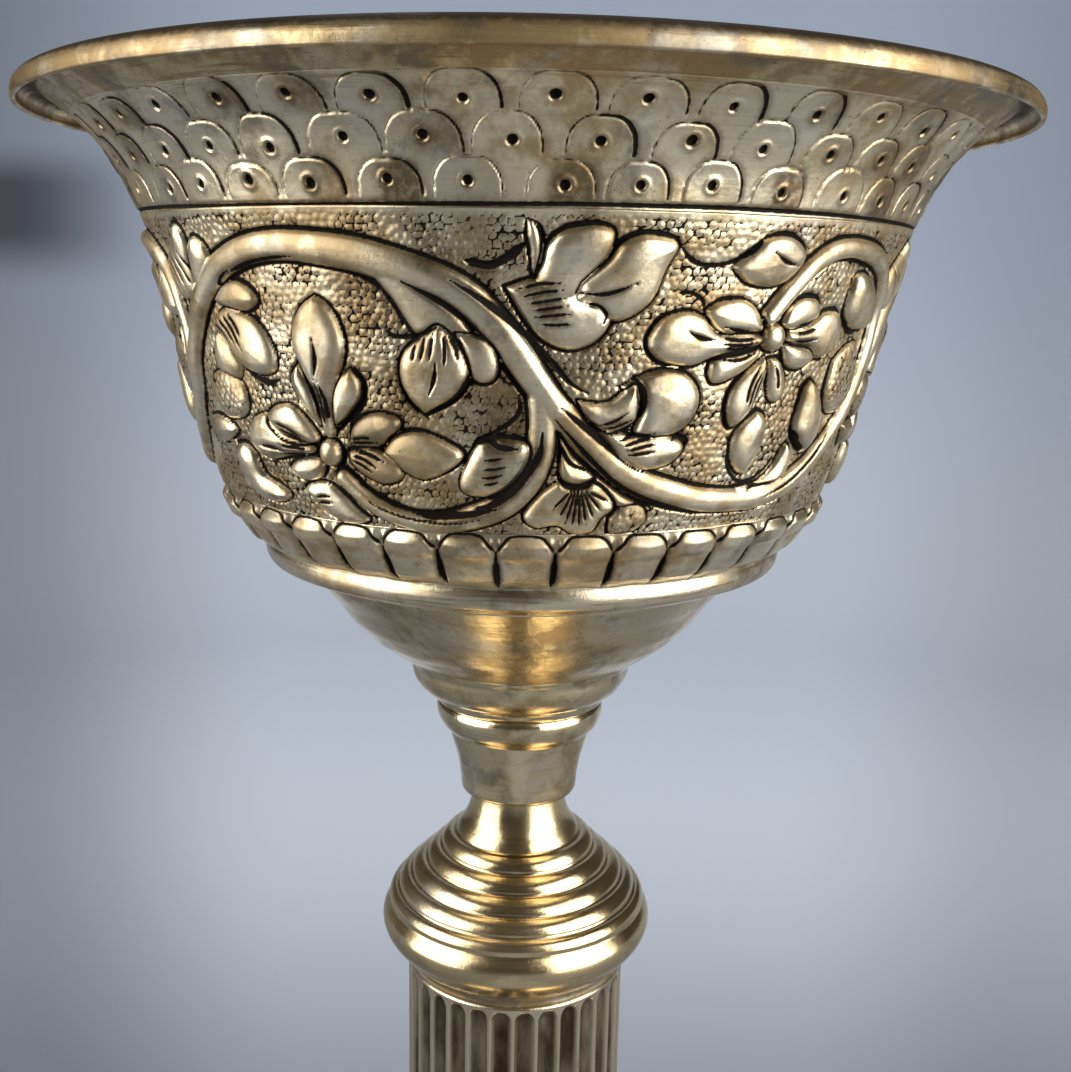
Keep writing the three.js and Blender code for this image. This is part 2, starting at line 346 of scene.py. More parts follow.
    def line(self, path, width=0.25, depth=0.3, black=1.0, taper=0.25):
        """A line cut with a chasing tool, which starts and ends thin."""
        for turn in self.turns:
            found = self.measure(path, turn, 4 * width + 0.5)
            if found is None:
                continue
            part, place, off, _ = found
            here = width * (0.35 + 0.65 * ramp(place, 0, taper) * ramp(place, 1, 1 - taper))
            cut = np.exp(-((off / here) ** 2))
            self.height[part] -= depth * cut
            self.black[part] = np.maximum(self.black[part], black * cut)

    def around(self, angle, level, reach):
        """The grid round a point: its slices and the distances along and up from the point."""
        x = angle * self.degree
        y = self.up(level)
        columns = slice(*np.searchsorted(self.x, (x - reach, x + reach)))
        rows = slice(*np.searchsorted(self.y, (y - reach, y + reach)))
        return (rows, columns), (self.x[columns] - x)[None, :], (self.y[rows] - y)[:, None]

    def dot(self, angle, level, radius):
        """A pit struck with a round punch, with a raised lip."""
        for turn in self.turns:
            part, x, y = self.around(angle + turn, level, 4 * radius)
            off = np.hypot(x, y)
            pit = ramp(off, radius * 1.2, radius * 0.7)
            self.height[part] += 0.18 * np.exp(-(((off - 1.6 * radius) / (0.45 * radius)) ** 2)) - 0.55 * pit
            self.black[part] = np.maximum(self.black[part], pit)

    def scale(self, angle, apex, foot, half_width):
        """One scale: an arched line, with the metal inside it standing a little above the metal outside."""
        half = half_width / self.degree
        drop = apex - foot
        leg = [(1, 1), (1, 0.68), (0.9, 0.36), (0.62, 0.1), (0.28, 0.01)]
        left = [(angle - half * u, apex - drop * v) for u, v in leg]
        right = [(angle + half * u, apex - drop * v) for u, v in reversed(leg)]
        weight = self.random.uniform(0.4, 1.1)
        stained = max(0, self.random.uniform(-0.5, 0.9))
        for turn in self.turns:
            found = self.measure([*left, *right], turn, 2.2)
            if found is None:
                continue
            part, place, off, side = found
            within = ramp(side, 0.15, -0.15)
            ends = ramp(place, 0, 0.06) * ramp(place, 1, 0.94)
            heavy = weight * (0.35 + 0.65 * ramp(place, 0.35, 0.8))
            cut = np.exp(-((off / (0.13 + 0.18 * heavy)) ** 2)) * ends
            self.height[part] += 0.13 * within * np.exp(-off / 1.2) * ends
            self.height[part] -= 0.06 * (1 - within) * np.exp(-off / 0.8) * ends + 0.3 * cut
            self.black[part] = np.maximum(self.black[part], cut * (0.3 + 0.7 * heavy))
            bounds, x, y = self.around(angle + turn, foot + 0.45 * drop, half_width + 0.5)
            spot = np.exp(-(((x - 0.3 * half_width) / (0.75 * half_width)) ** 4 + (y / (0.6 * drop)) ** 4))
            self.stain[bounds] = np.maximum(self.stain[bounds], stained * spot)


def punch_ground(work, size=1.25):
    """Packed punch marks over the ground: a small dome in each and a dark line between them."""
    turn = 360 * work.degree
    count = round(turn / size)
    width = turn / count
    row = width * math.sqrt(3) / 2
    jitter = work.random.uniform(-0.3, 0.3, (400, count, 2))
    x = work.x[None, :] + 0 * work.y[:, None]
    y = work.y[:, None] + 0 * work.x[None, :]
    nearest = np.full(x.shape, 1e9)
    second = np.full(x.shape, 1e9)
    base = np.floor((y - work.y[0]) / row).astype(int)
    for i in (-1, 0, 1, 2):
        j = base + i
        shift = (j % 2) * 0.5
        cell = np.floor(x / width - shift).astype(int)
        for k in (-1, 0, 1, 2):
            c = cell + k
            move = jitter[j % 400, c % count]
            off = np.hypot(x - (c + shift + move[..., 0]) * width, y - work.y[0] - (j + move[..., 1]) * row)
            second = np.where(off < nearest, nearest, np.minimum(second, off))
            nearest = np.minimum(nearest, off)
    seam = np.maximum(ramp(nearest, 0.6, 0.78), ramp(second - nearest, 0.22, 0.02) * 0.85)
    dome = ramp(nearest, 0.75, 0)
    patch = 0.62 + wander(work.angle, work.y, 9, 0.32, 21)
    work.height += work.matting * (0.13 * dome - 0.06)
    work.black = np.maximum(work.black, work.matting * seam * np.clip(patch, 0.2, 1))


def wander(angle, level, period, size, seed):
    """Slow unevenness of hand work over a grid, the same after a full turn."""
    random = np.random.default_rng(seed)
    total = np.zeros((len(level), len(angle)))
    a = np.radians(angle)[None, :]
    for k in range(14):
        turns = random.integers(1, max(2, int(400 / period)))
        up = random.normal(0, 2 * math.pi / period)
        phase = random.uniform(0, 2 * math.pi)
        total += np.sin(turns * a + up * level[:, None] + phase)
    return size * total / math.sqrt(14)


# The angles run all the way round. They are closer together on the half that faces the camera.
FRONT = np.arange(-75, 75, 0.2)
BACK = np.linspace(75, 285, 501)[:-1]
ANGLE = np.concatenate([FRONT, BACK])


def blurred(values, times):
    """The values of a grid softened a little, up the wall and round the bowl, so many times."""
    soft = values.copy()
    for _ in range(times):
        soft[1:-1] = (soft[:-2] + 2 * soft[1:-1] + soft[2:]) / 4
        soft = (np.roll(soft, 1, 1) + 2 * soft + np.roll(soft, -1, 1)) / 4
    return soft


def band(name, work, wall):
    """A chased ring of the bowl: its outside follows the chasing, and its inside shows it softly."""
    out = outward(wall)
    soft = blurred(work.height, 10)
    inner = np.arange(len(wall) - 1, -1, -4)
    if inner[-1] != 0:
        inner = np.append(inner, 0)
    rows = np.concatenate([np.arange(len(wall)), inner])
    lift = np.concatenate([work.height, 0.85 * soft[inner] - SHEET])
    radius = wall[rows, 0][:, None] + out[rows, 0][:, None] * lift
    level = wall[rows, 1][:, None] + out[rows, 1][:, None] * lift
    a = np.radians(work.angle)[None, :]
    points = np.stack([radius * np.sin(a), -radius * np.cos(a), level], -1)
    piece = mesh_of(name, points.reshape(-1, 3), quads(len(rows), len(work.angle), True, True))
    none = np.zeros((len(inner), len(work.angle)))
    # Brown round the cut lines and the stains, blurred out from them: partly tarnish and partly painted shade
    # in the recesses.
    shade_and_tarnish = blurred(work.black * (1 - 0.55 * work.matting) + 0.5 * work.stain, 16)
    for layer, values in (("black", work.black), ("shade_and_tarnish", shade_and_tarnish), ("matting", work.matting)):
        add_layer(piece, layer, np.concatenate([values, none]))
    return piece


# ---------------------------------------------------------------- the scale band

# Each row: the middle of one scale, the tops of its scales, where their lines end, and its dots' level.
SCALE_ROWS = [
    (3.3, -4.7, -9.4, -7.1),
    (-1.2, -9.2, -14.4, -12.1),
    (3.4, -14.2, -19.6, -17.2),
]


def scale_band():
    """Three rows of scales, each with a struck dot, over a cut line. Its top runs in under the lip."""
    wall = bowl_wall(UNDER_SCALES, UNDER_LIP, GRID)
    work = Chasing(ANGLE, wall)
    pitch = 360 / SCALES
    for middle, apex, foot, pit in SCALE_ROWS:
        for k in range(SCALES):
            angle = middle + k * pitch + work.random.normal(0, 0.5)
            top = apex + work.random.normal(0, 0.3)
            work.scale(angle, top, foot, 4.9 + work.random.normal(0, 0.25))
            across = work.random.normal(0, 0.35)
            work.dot(angle + across, pit + work.random.normal(0, 0.3), work.random.uniform(0.62, 0.78))
    work.line([(a, -20.1 + 0.3 * math.sin(a / 17)) for a in range(-80, 292, 4)], 0.33, 0.4, 0.9, 0.001)
    work.height += wander(ANGLE, wall[:, 1], 16, 0.09, 5)
    # The relief dies out towards the lip, and the band's top edge sinks behind the lip's foot.
    work.height *= ramp(work.y, work.up(-4.3), work.up(-5.6))[:, None]
    work.height -= 0.35 * ramp(work.y, work.up(-4.5), work.up(-4.15))[:, None]
    return band("bowl_scale_band", work, wall)


# ---------------------------------------------------------------- the vine band
# Places on a turn of the vine are (angle, level). It goes round the bowl three times.

MAIN_STEM = [
    (-62, -52), (-56, -41.5), (-50, -34), (-45, -30), (-40, -27.6), (-35, -26.2), (-30, -25.8),
    (-25, -26.2), (-20, -27), (-15, -28.6), (-10, -30.6), (-6.5, -32.8), (-3.4, -36.4),
    (-0.4, -40.6), (2, -44.4), (4.6, -48.2),
]
TROUGH = [
    (2.6, -45.6), (5.6, -49.2), (8, -52), (11, -55), (14.5, -58), (18, -60.2), (22, -61.6),
    (27, -62.9), (33, -63.6), (38, -63.8),
]
SPIRAL = [
    (38, -63.8), (44, -62.8), (50, -60), (54.6, -56), (58.4, -51), (61, -45), (62, -39),
    (61.4, -33), (58.6, -28), (54, -25.4), (48, -24.4), (43, -24.8), (39.4, -27), (36.4, -30.4),
    (33.4, -34.6),
]
BRANCH = [
    (2.6, -46.4), (3, -51), (2.6, -55.6), (0.8, -60), (-3, -63.8), (-9, -66.2), (-14, -66.9),
    (-19, -65.9), (-23, -63.8), (-26.4, -60.4),
]
SHEATH = [(-16, -29), (-12.6, -33), (-9.6, -37.4), (-6.8, -41)]


def stems(work):
    """The vine's own stems, with the lines that are cut along them."""
    work.form(SPIRAL, [2.2, 2, 1.9, 1.8, 1.7, 1.6], 1.4)
    work.form(SHEATH, [2.6, 3.4, 3.6, 2.6], 1.2)
    work.form(BRANCH, [2, 2.2, 2.4, 2.1, 1.7, 1.6, 1.5], 1.3, over=False)
    work.form(TROUGH, [2, 2.4, 2.4, 2.2, 2.1], 1.4, over=False)
    work.form(MAIN_STEM, [2, 2.2, 2.3, 2.3, 2.4, 2.7, 2.7, 2.5, 2.1], 1.45, over=False)
    work.leaf([
        (5.2, -51.8), (7.6, -55.8), (11, -58.6), (15, -61.6), (20, -64.4), (14, -63.4), (9, -60.4),
        (6.2, -57),
    ], 1)
    for path, width in [
        ([(-41, -29.7), (-36, -28.1), (-32, -27.4), (-28.8, -27.1)], 0.3),
        ([(-44.8, -32.5), (-43, -30.6), (-40.6, -29.2)], 0.2),
        ([(-21.4, -29.1), (-17.8, -31.1), (-15.7, -33.8), (-14.8, -36.6)], 0.42),
        ([
            (-8.3, -30), (-5.3, -32.1), (-2.4, -34.6), (0.5, -37.5), (3, -40.4), (6.3, -44.4),
            (8.8, -46),
        ], 0.46),
        ([
            (-14.2, -30.3), (-9.9, -32.9), (-6.6, -35.8), (-4.1, -38.8), (-2.4, -41.7),
            (-0.8, -44.6), (0.7, -47),
        ], 0.5),
        ([(-0.2, -46.4), (0, -48.6), (-1.4, -50.6), (-4.3, -52.6)], 0.4),
        ([(3, -51.6), (2.7, -54.6), (1.4, -57.4), (-0.8, -60.6), (-3.8, -63), (-6, -63.7)], 0.6),
        ([(-3.2, -63.6), (-8, -64.8), (-13, -65.4), (-16, -65.2)], 0.46),
        ([(-25.3, -59), (-23.4, -61.4), (-20.4, -63.4), (-17, -64.4)], 0.3),
        ([(-24.4, -62), (-21, -64.4), (-16, -65.9), (-10, -66.2), (-5, -65.2)], 0.16),
        ([(5.3, -47.8), (8, -50.2), (10.5, -52.5), (13.4, -54.9), (16, -57)], 0.4),
        ([
            (4.6, -49.6), (7.2, -52.7), (10.1, -56), (13.4, -59.2), (17, -61.4), (22, -63.4),
            (28, -64.9),
        ], 0.4),
        ([(40, -63.4), (46, -61.2), (51, -58), (54.6, -54)], 0.22),
        ([(42, -26.6), (47, -25.8), (52, -27.2), (56, -31)], 0.2),
    ]:
        work.line(path, width)


def left_flower(work):
    """A flower of seven petals round a button, with two small ones behind the upright one."""
    work.leaf([
        (-31.2, -42.8), (-32.8, -45), (-32.5, -47.4), (-30.6, -50.4), (-28.8, -52.4), (-29, -47),
    ], 1.3)
    work.leaf([
        (-23, -43.4), (-21.8, -45.2), (-21.9, -47.6), (-24, -50.4), (-26.4, -52.4), (-26.4, -46),
    ], 1.2)
    work.line([(-22.4, -43.2), (-21.3, -45.4), (-21.7, -48.2), (-23.5, -50.6), (-26, -52)], 0.55, 0.5)
    work.leaf(
        [
            (-27, -32.8), (-29.2, -34.3), (-30.9, -37), (-31.4, -40.4), (-30.3, -43.8),
            (-28.8, -48), (-28.2, -53.6), (-26.8, -53.6), (-26.1, -48), (-24.5, -44), (-23.2, -40),
            (-23.8, -36.4), (-25.4, -33.8),
        ],
        1.8,
        [
            [(-29.7, -45.4), (-28.7, -48), (-28.3, -50.8)],
            [(-29, -45), (-28.1, -47.8), (-27.9, -51.6)],
            [(-28.2, -45), (-27.5, -47.8), (-27.4, -51.8)],
            [(-27.4, -45.2), (-26.9, -48), (-26.9, -51.4)],
        ],
        crease=[(-27.2, -38.8), (-27.2, -41.8), (-28, -44.8)],
    )
    work.leaf(
        [
            (-39.9, -51.3), (-43, -52.4), (-44.8, -55.2), (-43.6, -57.8), (-40.4, -58.9),
            (-36, -57.9), (-30.4, -56.4), (-36, -53),
        ],
        1.5,
        [
            [(-37, -55.9), (-34, -56), (-31.6, -56.2)],
            [(-36.6, -57.3), (-34, -57.1), (-31.8, -56.9)],
        ],
        crease=[(-41.6, -56.4), (-39, -56.4), (-36.6, -56.8)],
    )
    work.leaf(
        [
            (-39.1, -51.2), (-37.2, -49.9), (-34, -49.5), (-31.8, -51), (-29.6, -54.6),
            (-32, -55.4), (-36, -54.9), (-38.6, -53),
        ],
        1.5,
        [
            [(-37, -52.3), (-34.5, -53), (-32.4, -54.2)],
            [(-36.9, -53.2), (-34.5, -53.9), (-32.2, -54.8)],
            [(-36.4, -54.2), (-34.2, -54.7), (-32.2, -55.2)],
        ],
    )
    work.leaf([
        (-37, -59.8), (-34.6, -58.2), (-30, -57.6), (-29.6, -59.4), (-31.6, -61.3), (-34.8, -61.6),
    ], 1.2)
    work.leaf(
        [
            (-24.6, -54.6), (-23.4, -51.7), (-20.6, -49.9), (-17.4, -49.9), (-16.2, -51.2),
            (-17.6, -53.5), (-20, -55), (-23, -55.4),
        ],
        1.5,
        [
            [(-24, -53.9), (-22, -53.4), (-20.2, -53.3)],
            [(-24.2, -54.5), (-22, -54.2), (-19.8, -54.1)],
        ],
    )
    work.leaf(
        [
            (-19.6, -55.8), (-17.2, -53), (-14, -52.2), (-10.8, -53.2), (-7.6, -55.4),
            (-9.6, -57.9), (-13.4, -59.7), (-16.6, -58.5),
        ],
        1.6,
    )
    work.leaf(
        [
            (-25, -56), (-22, -55.3), (-19, -56), (-16.9, -58), (-17.2, -60), (-20, -60.9),
            (-23, -59.6), (-24.8, -57.8),
        ],
        1.4,
        [
            [(-23.6, -55.8), (-21.4, -56.1), (-19.2, -57)],
            [(-24.2, -56.4), (-22, -56.9), (-20.2, -58.1)],
            [(-24.2, -57.1), (-22.6, -57.7), (-21.2, -58.7)],
        ],
    )
    middle_of_flower(work, -28, -56.5, 1.9, 2.2)


def right_flower(work):
    """The larger flower, with one long petal to the left."""
    work.leaf([
        (36, -36), (36.8, -33.4), (39.4, -31.8), (42.4, -32.2), (43.4, -34.6), (41, -36.6),
        (38, -37),
    ], 1.3)
    work.leaf([(36.8, -39), (40, -38.6), (43.4, -39.6), (44.6, -41), (42, -42.8), (38.8, -42.4)], 1.2)
    work.leaf(
        [
            (37, -37), (42, -35.8), (44.6, -34.1), (47.8, -34), (49.4, -36.8), (48, -40),
            (45, -41.4), (42.6, -39.4), (38, -38.6),
        ],
        1.5,
        [
            [(38.4, -36), (40.6, -35.6), (42.4, -35)],
            [(38.6, -37.2), (40.8, -37), (43, -36.4)],
            [(38.6, -38.2), (40.8, -38.4), (43, -38)],
        ],
    )
    work.leaf([
        (34.9, -41), (37, -41.2), (39, -44), (39.4, -47), (37.6, -48), (36, -46),
    ], 1.2, [[(36, -42), (37, -44), (37.4, -46)]])
    work.leaf(
        [
            (34.2, -40.6), (31.4, -43), (29.4, -45.6), (29, -48.4), (30.5, -51.6), (33, -49.6),
            (34.4, -46.4), (34.9, -43),
        ],
        1.4,
        [
            [(33.2, -42.2), (31.9, -45), (31.7, -48)],
            [(33.7, -42.6), (32.7, -45.2), (32.4, -48.4)],
            [(34.1, -43), (33.5, -45.2), (33.2, -47.4)],
        ],
    )
    work.leaf(
        [
            (32.6, -39), (29, -39.6), (25.8, -40.8), (25.3, -43), (26.4, -44.7), (29.4, -43.8),
            (31.8, -42), (33, -40.2),
        ],
        1.4,
        [
            [(27, -41), (29.4, -40.9), (31.6, -40)],
        ],
    )
    work.leaf(
        [
            (23.4, -33.8), (25.4, -32.5), (28.6, -32.2), (31.2, -33.6), (32.6, -36.6), (30, -37.5),
            (26.4, -37.2), (24.2, -35.4),
        ],
        1.5,
        crease=[(26.2, -36), (28.4, -36.6), (30.6, -36.7)],
    )
    work.leaf(
        [
            (15.9, -37.8), (17.4, -35.1), (20.6, -33.9), (23.4, -34.8), (26, -37.2), (32.2, -37.2),
            (32.2, -39), (26, -40.6), (22, -42), (18, -41.3), (16.2, -39.6),
        ],
        1.7,
        [
            [(26, -37.7), (28.8, -38), (31.4, -37.7)],
            [(25.9, -38.4), (28.8, -38.7), (31.4, -38.3)],
            [(26.2, -39.1), (28.8, -39.3), (31.2, -38.9)],
        ],
        crease=[(20.7, -36.5), (22.6, -37.5), (25, -37.9)],
    )
    middle_of_flower(work, 34.8, -37.8, 2, 2.2)


def middle_of_flower(work, angle, level, wide, high):
    """The button where the petals meet, with a deeper cut down its right side."""

    def oval(size, directions):
        turns = [math.radians(t) for t in directions]
        return [(angle + size * wide * math.cos(t), level + size * high * math.sin(t)) for t in turns]

    work.leaf(oval(1, range(0, 360, 45)), 1.9)
    work.line(oval(1.12, (-80, -40, 0, 40)), 0.42, 0.3)


def big_leaf(work):
    """The leaf above the fork: two lobes, the body that joins the stem and the curl under it."""
    work.leaf([(0.6, -22.1), (1.9, -23), (2.3, -26), (1.4, -29.8), (0.9, -26), (0.5, -24)], 0.9)
    work.line([(1.3, -22.3), (2.2, -24), (2.2, -26.8), (1.4, -29.6)], 0.34, 0.4)
    work.leaf(
        [
            (1.4, -30.4), (2.3, -27.6), (2.8, -25.2), (4.6, -23.2), (8, -22.4), (10.4, -23.2),
            (10.2, -26), (8.4, -29), (6.6, -32.4), (3, -33),
        ],
        1.6,
    )
    work.leaf(
        [
            (7, -30), (9.8, -27.2), (11.4, -24.6), (14.4, -23.4), (18.2, -24.5), (17.2, -28),
            (16, -32.2), (13.6, -34.8), (11, -35.5), (8.8, -33.4), (6.4, -32.6),
        ],
        1.8,
        crease=[(6.7, -31.4), (10, -31.3), (13.4, -29.7)],
    )
    work.leaf(
        [
            (-2, -31), (1.4, -29.8), (5, -30.2), (7.4, -32.6), (10.2, -33.6), (11, -35.8),
            (9.2, -38.6), (6, -39.8), (2.6, -38.4), (0.3, -35.4),
        ],
        1.5,
        [
            [(-0.2, -31), (2.2, -30.3), (4.4, -30)],
            [(0.1, -32), (2.4, -31.4), (4.8, -31)],
            [(0.6, -33), (2.8, -32.6), (5.2, -32.1)],
            [(1.2, -34), (3.2, -33.6), (5.4, -33.2)],
            [(1.6, -34.9), (3.6, -34.6), (5.8, -34.3)],
            [(2.3, -35.9), (4.2, -35.9), (6.2, -35.7)],
        ],
        over=False,
    )
    work.line([(7.6, -33), (9.2, -33.2), (10.2, -34.4), (10, -35.6)], 0.26)
    work.line([(-6.6, -27.6), (-4, -28.2), (-2, -27.3), (0.2, -25.4)], 0.62, 0.5, taper=0.1)


def fork_leaves(work):
    """The leaf under the right flower, which grows from the fork, and the small one below the branch."""
    work.leaf(
        [
            (13, -45), (17, -42.7), (21, -42.6), (23.8, -44.8), (24.4, -48), (22.8, -51.2),
            (19, -53), (15.4, -52.8), (16, -48),
        ],
        1.8,
    )
    work.leaf(
        [
            (9.4, -50.4), (12, -51), (16, -52.2), (21, -52.4), (23.3, -54), (21.8, -56.6),
            (18, -57.7), (14.4, -56), (11.6, -53),
        ],
        1.5,
    )
    work.leaf([
        (7.4, -47), (11.4, -47.2), (14.8, -44.4), (15.8, -46.8), (15.4, -50), (12.4, -51.6),
        (9, -50),
    ], 1.3)
    for stroke in [
        [(10.6, -50.5), (12.4, -49.7), (14, -48.5)],
        [(11.3, -51.2), (13.1, -50.5), (14.8, -49.7)],
        [(12.2, -51.9), (14, -51.2), (15.6, -50.7)],
        [(13.2, -52.8), (15.6, -52), (18, -51.5)],
        [(13.9, -53.5), (16, -52.9), (18.4, -52.4)],
        [(14.4, -54.2), (16.4, -53.7), (18.6, -53.3)],
        [(14.8, -54.9), (16.6, -54.6), (18.4, -54.3)],
    ]:
        work.line(stroke, 0.24, 0.28)
    work.line([(14.7, -43.4), (15.7, -45.2), (16.1, -47.6), (15.6, -50.3)], 0.45, 0.4)
    work.line([(21, -52.9), (22.6, -52.5), (23.8, -53.3), (23.2, -54.6)], 0.3)
    work.leaf(
        [
            (-5.4, -53.2), (-7, -55.8), (-8.5, -60), (-7.4, -61.9), (-4, -61.9), (-1, -59.8),
            (1.2, -56), (1, -53.4), (-2.4, -52.8),
        ],
        1.4,
        [
            [(-4.6, -55.8), (-3.4, -55.7), (-2.2, -55.4)],
            [(-4.8, -57.2), (-3.4, -57.1), (-2, -56.8)],
            [(-5, -58.5), (-3.6, -58.4), (-2.4, -58)],
            [(-4.8, -59.6), (-3.8, -59.5), (-3, -59.2)],
        ],
    )
    work.line([(-6.4, -54), (-4.4, -53), (-2.6, -53.9), (-0.2, -54.1)], 0.44)


def hanging_leaf(work):
    """The creased leaf in the middle of the turn, with a small one behind it."""
    work.leaf([(-8, -37.4), (-4.6, -38.2), (-2.8, -40.8), (-3.2, -44), (-5.2, -44.8), (-7.2, -42.8)], 1.2)
    work.leaf(
        [
            (-12.6, -49.6), (-15, -47), (-15.8, -43.4), (-14.8, -40.2), (-12, -37.8), (-10, -36.4),
            (-7.6, -39.4), (-6.5, -43.6), (-8.4, -47),
        ],
        1.7,
        [
            [(-13.1, -38.9), (-13.3, -40.2), (-13.5, -41.6)],
            [(-11.9, -38), (-12.1, -39.8), (-12.5, -41.4)],
            [(-9.5, -37.4), (-9.3, -39.8), (-9.5, -42.4)],
            [(-8.8, -38), (-8.1, -39.4), (-7.8, -41)],
            [(-10.8, -37.6), (-11, -39.4), (-11.3, -41.2)],
        ],
        crease=[(-10.5, -41.4), (-10.8, -43.8), (-11.7, -46.4)],
    )
    work.line([(-17.5, -37.2), (-16, -38.3), (-13.2, -38.1), (-10.4, -36.8)], 0.36)
    work.line([(-15.6, -45.4), (-14.4, -48), (-12.8, -49.6)], 0.5)
    work.line([(-6.6, -43.6), (-7.6, -46), (-9.4, -47.8), (-12.2, -49.3)], 0.5)


def shell(work):
    """The fan that hangs under the fork."""
    work.leaf([
        (13.4, -65.4), (15.4, -63.6), (18.4, -63.6), (19.4, -66), (17.2, -68), (13.8, -68),
    ], 0.8, ground=0.8)
    work.leaf(
        [
            (5.4, -59.4), (2.8, -61.6), (0.6, -65), (2.4, -67), (5.6, -66.6), (8.2, -68),
            (11, -67.5), (12.2, -65.4), (14, -63.4), (11.4, -60), (8.4, -59.2),
        ],
        1.2,
    )
    for foot in [
        (4.6, -63.6), (5.8, -64.8), (6.8, -65.6), (7.8, -66.2), (8.8, -66.2), (9.8, -65.8),
        (10.9, -65), (12, -63.8), (13, -62.4),
    ]:
        top = (8.3 + 0.3 * (foot[0] - 8.3), -60.6)
        work.line([top, ((top[0] + foot[0]) / 2, (top[1] + foot[1]) / 2), foot], 0.22, 0.3)
    work.leaf([(5.6, -54.4), (7, -56.6), (10.4, -58.4), (8.4, -60), (5.8, -59)], 1.2)
    work.line([(5.2, -58), (6.4, -59.7), (8.3, -60.1), (10, -59.6), (11, -58.4)], 0.42)


def side_leaves(work):
    """The leaves between the flowers and the ends of the turn."""
    work.leaf([
        (-53.8, -24.4), (-52, -22.4), (-50, -23.2), (-49.6, -27), (-51, -33), (-56, -34),
        (-58, -28.4),
    ], 1.3)
    work.leaf([
        (-49.2, -25.6), (-47.4, -24.3), (-45.2, -25.5), (-44.6, -27.8), (-46, -30.6), (-49, -33),
        (-50, -29),
    ], 1.5)
    for shift in (0, 1.6, 3.2, 4.8):
        work.line([(-56.6 + shift, -26.6), (-55 + shift, -29.4), (-54 + shift, -32.4)], 0.2)
    work.leaf([
        (-46.4, -34), (-43.4, -31.6), (-40.2, -30.9), (-37.4, -32.2), (-36.6, -34), (-39, -35.5),
        (-43, -35.6),
    ], 1.5)
    work.leaf([
        (-47.6, -39), (-44, -41.6), (-43.2, -44.6), (-45.4, -47), (-48.4, -46.8), (-49.2, -42.6),
    ], 1.2)
    work.leaf(
        [
            (-47.8, -37.6), (-44.6, -35.2), (-40.6, -35.6), (-37.2, -37.4), (-35, -41.4),
            (-35.6, -44.4), (-39, -45.2), (-42.6, -43.8), (-45, -40.4),
        ],
        1.7,
        [
            [(-42.8, -35.9), (-41.2, -37.4), (-40.2, -39.4)],
            [(-44, -36), (-42, -38), (-40.4, -41.2)],
            [(-45.2, -36.5), (-43.2, -38.2), (-41.8, -40.4)],
            [(-46.4, -37.3), (-44.6, -38.6), (-43.2, -40.4)],
        ],
    )
    work.line([(-42.6, -44.6), (-40, -45.9), (-37.4, -46.4), (-35.4, -45.8)], 0.5)
    work.leaf([
        (-53.8, -48.6), (-51.8, -46), (-48, -45.2), (-44.4, -46.8), (-43.4, -49.8), (-45.2, -52.4),
        (-50.6, -52.9),
    ], 1.1, ground=0.8)
    work.leaf([
        (-58, -53.6), (-53.6, -52.9), (-49.6, -53.9), (-48.4, -55.2), (-51, -56.6), (-55, -57.6),
    ], 1.4)
    work.leaf(
        [
            (-50, -57.4), (-47, -57), (-44.8, -58.6), (-43.8, -61.8), (-40.6, -63.2),
            (-38.6, -64.8), (-41.6, -66.4), (-46.4, -66), (-49.6, -62),
        ],
        1.6,
    )
    work.leaf(
        [
            (-34.9, -63), (-33, -61.8), (-29.6, -61.6), (-27.2, -63.2), (-25.2, -65.4),
            (-23.4, -67.2), (-27, -68.2), (-31, -67), (-33.2, -65),
        ],
        1.4,
        [
            [(-32, -63.9), (-30.8, -63.5), (-29.4, -63.5)],
            [(-32, -64.9), (-30.6, -64.5), (-29, -64.5)],
            [(-33.2, -65.2), (-32.4, -66.4), (-31, -67.2)],
        ],
    )
    work.leaf([
        (49.2, -31), (50, -28.2), (53.4, -28.2), (57.4, -31), (59.8, -35.4), (57, -37.2),
        (52.4, -36.6), (49.8, -34.4),
    ], 1.6)
    work.line([(51.4, -36.6), (53.6, -37.4), (56, -37)], 0.5)
    work.leaf([
        (50, -42), (53, -39.8), (56.4, -39), (58.8, -42.4), (59.6, -47), (57, -50.4), (52.6, -50.6),
        (50, -47.4),
    ], 1, ground=0.8)
    work.leaf([
        (44, -46), (45.4, -44.8), (48, -46.8), (50, -50.2), (50.4, -53.6), (48.6, -56.6),
        (45.6, -55), (43.6, -52.4),
    ], 1.6)
    work.line([(43.6, -52.6), (45.4, -54.8), (48, -56.6)], 0.44)
    work.leaf([
        (34.8, -49), (32.6, -51), (31.2, -53.6), (32, -57), (34.4, -59.2), (36.4, -57.4),
        (37.4, -53.4), (36.6, -50),
    ], 1.5)
    work.leaf([
        (34, -61.4), (38.6, -61), (41.6, -58.6), (43, -55), (45, -56.4), (45.4, -59.4),
        (42.8, -62.4), (38, -63.6),
    ], 1.3)
    work.line([(31, -54), (31.6, -57.4), (34, -60.2), (37, -60.6), (40, -59), (42, -56.2)], 0.3)
    work.leaf([
        (26.2, -27.8), (28.4, -25.2), (30.4, -23.4), (33.6, -23), (36.8, -24.9), (36.4, -27.8),
        (33.4, -30.2), (29, -30),
    ], 1.6)
    work.line([(31, -25), (33, -26.3), (35.4, -26.9)], 0.34, 0.4, taper=0.6)
    work.line([
        (30.4, -22.6), (28.6, -25), (26, -27), (23, -27.6), (20.6, -27), (19, -25.4), (18.2, -24.4),
    ], 0.34)
    work.line([(19, -31.6), (21, -31.4), (22.8, -32.4), (23.3, -34)], 0.28)


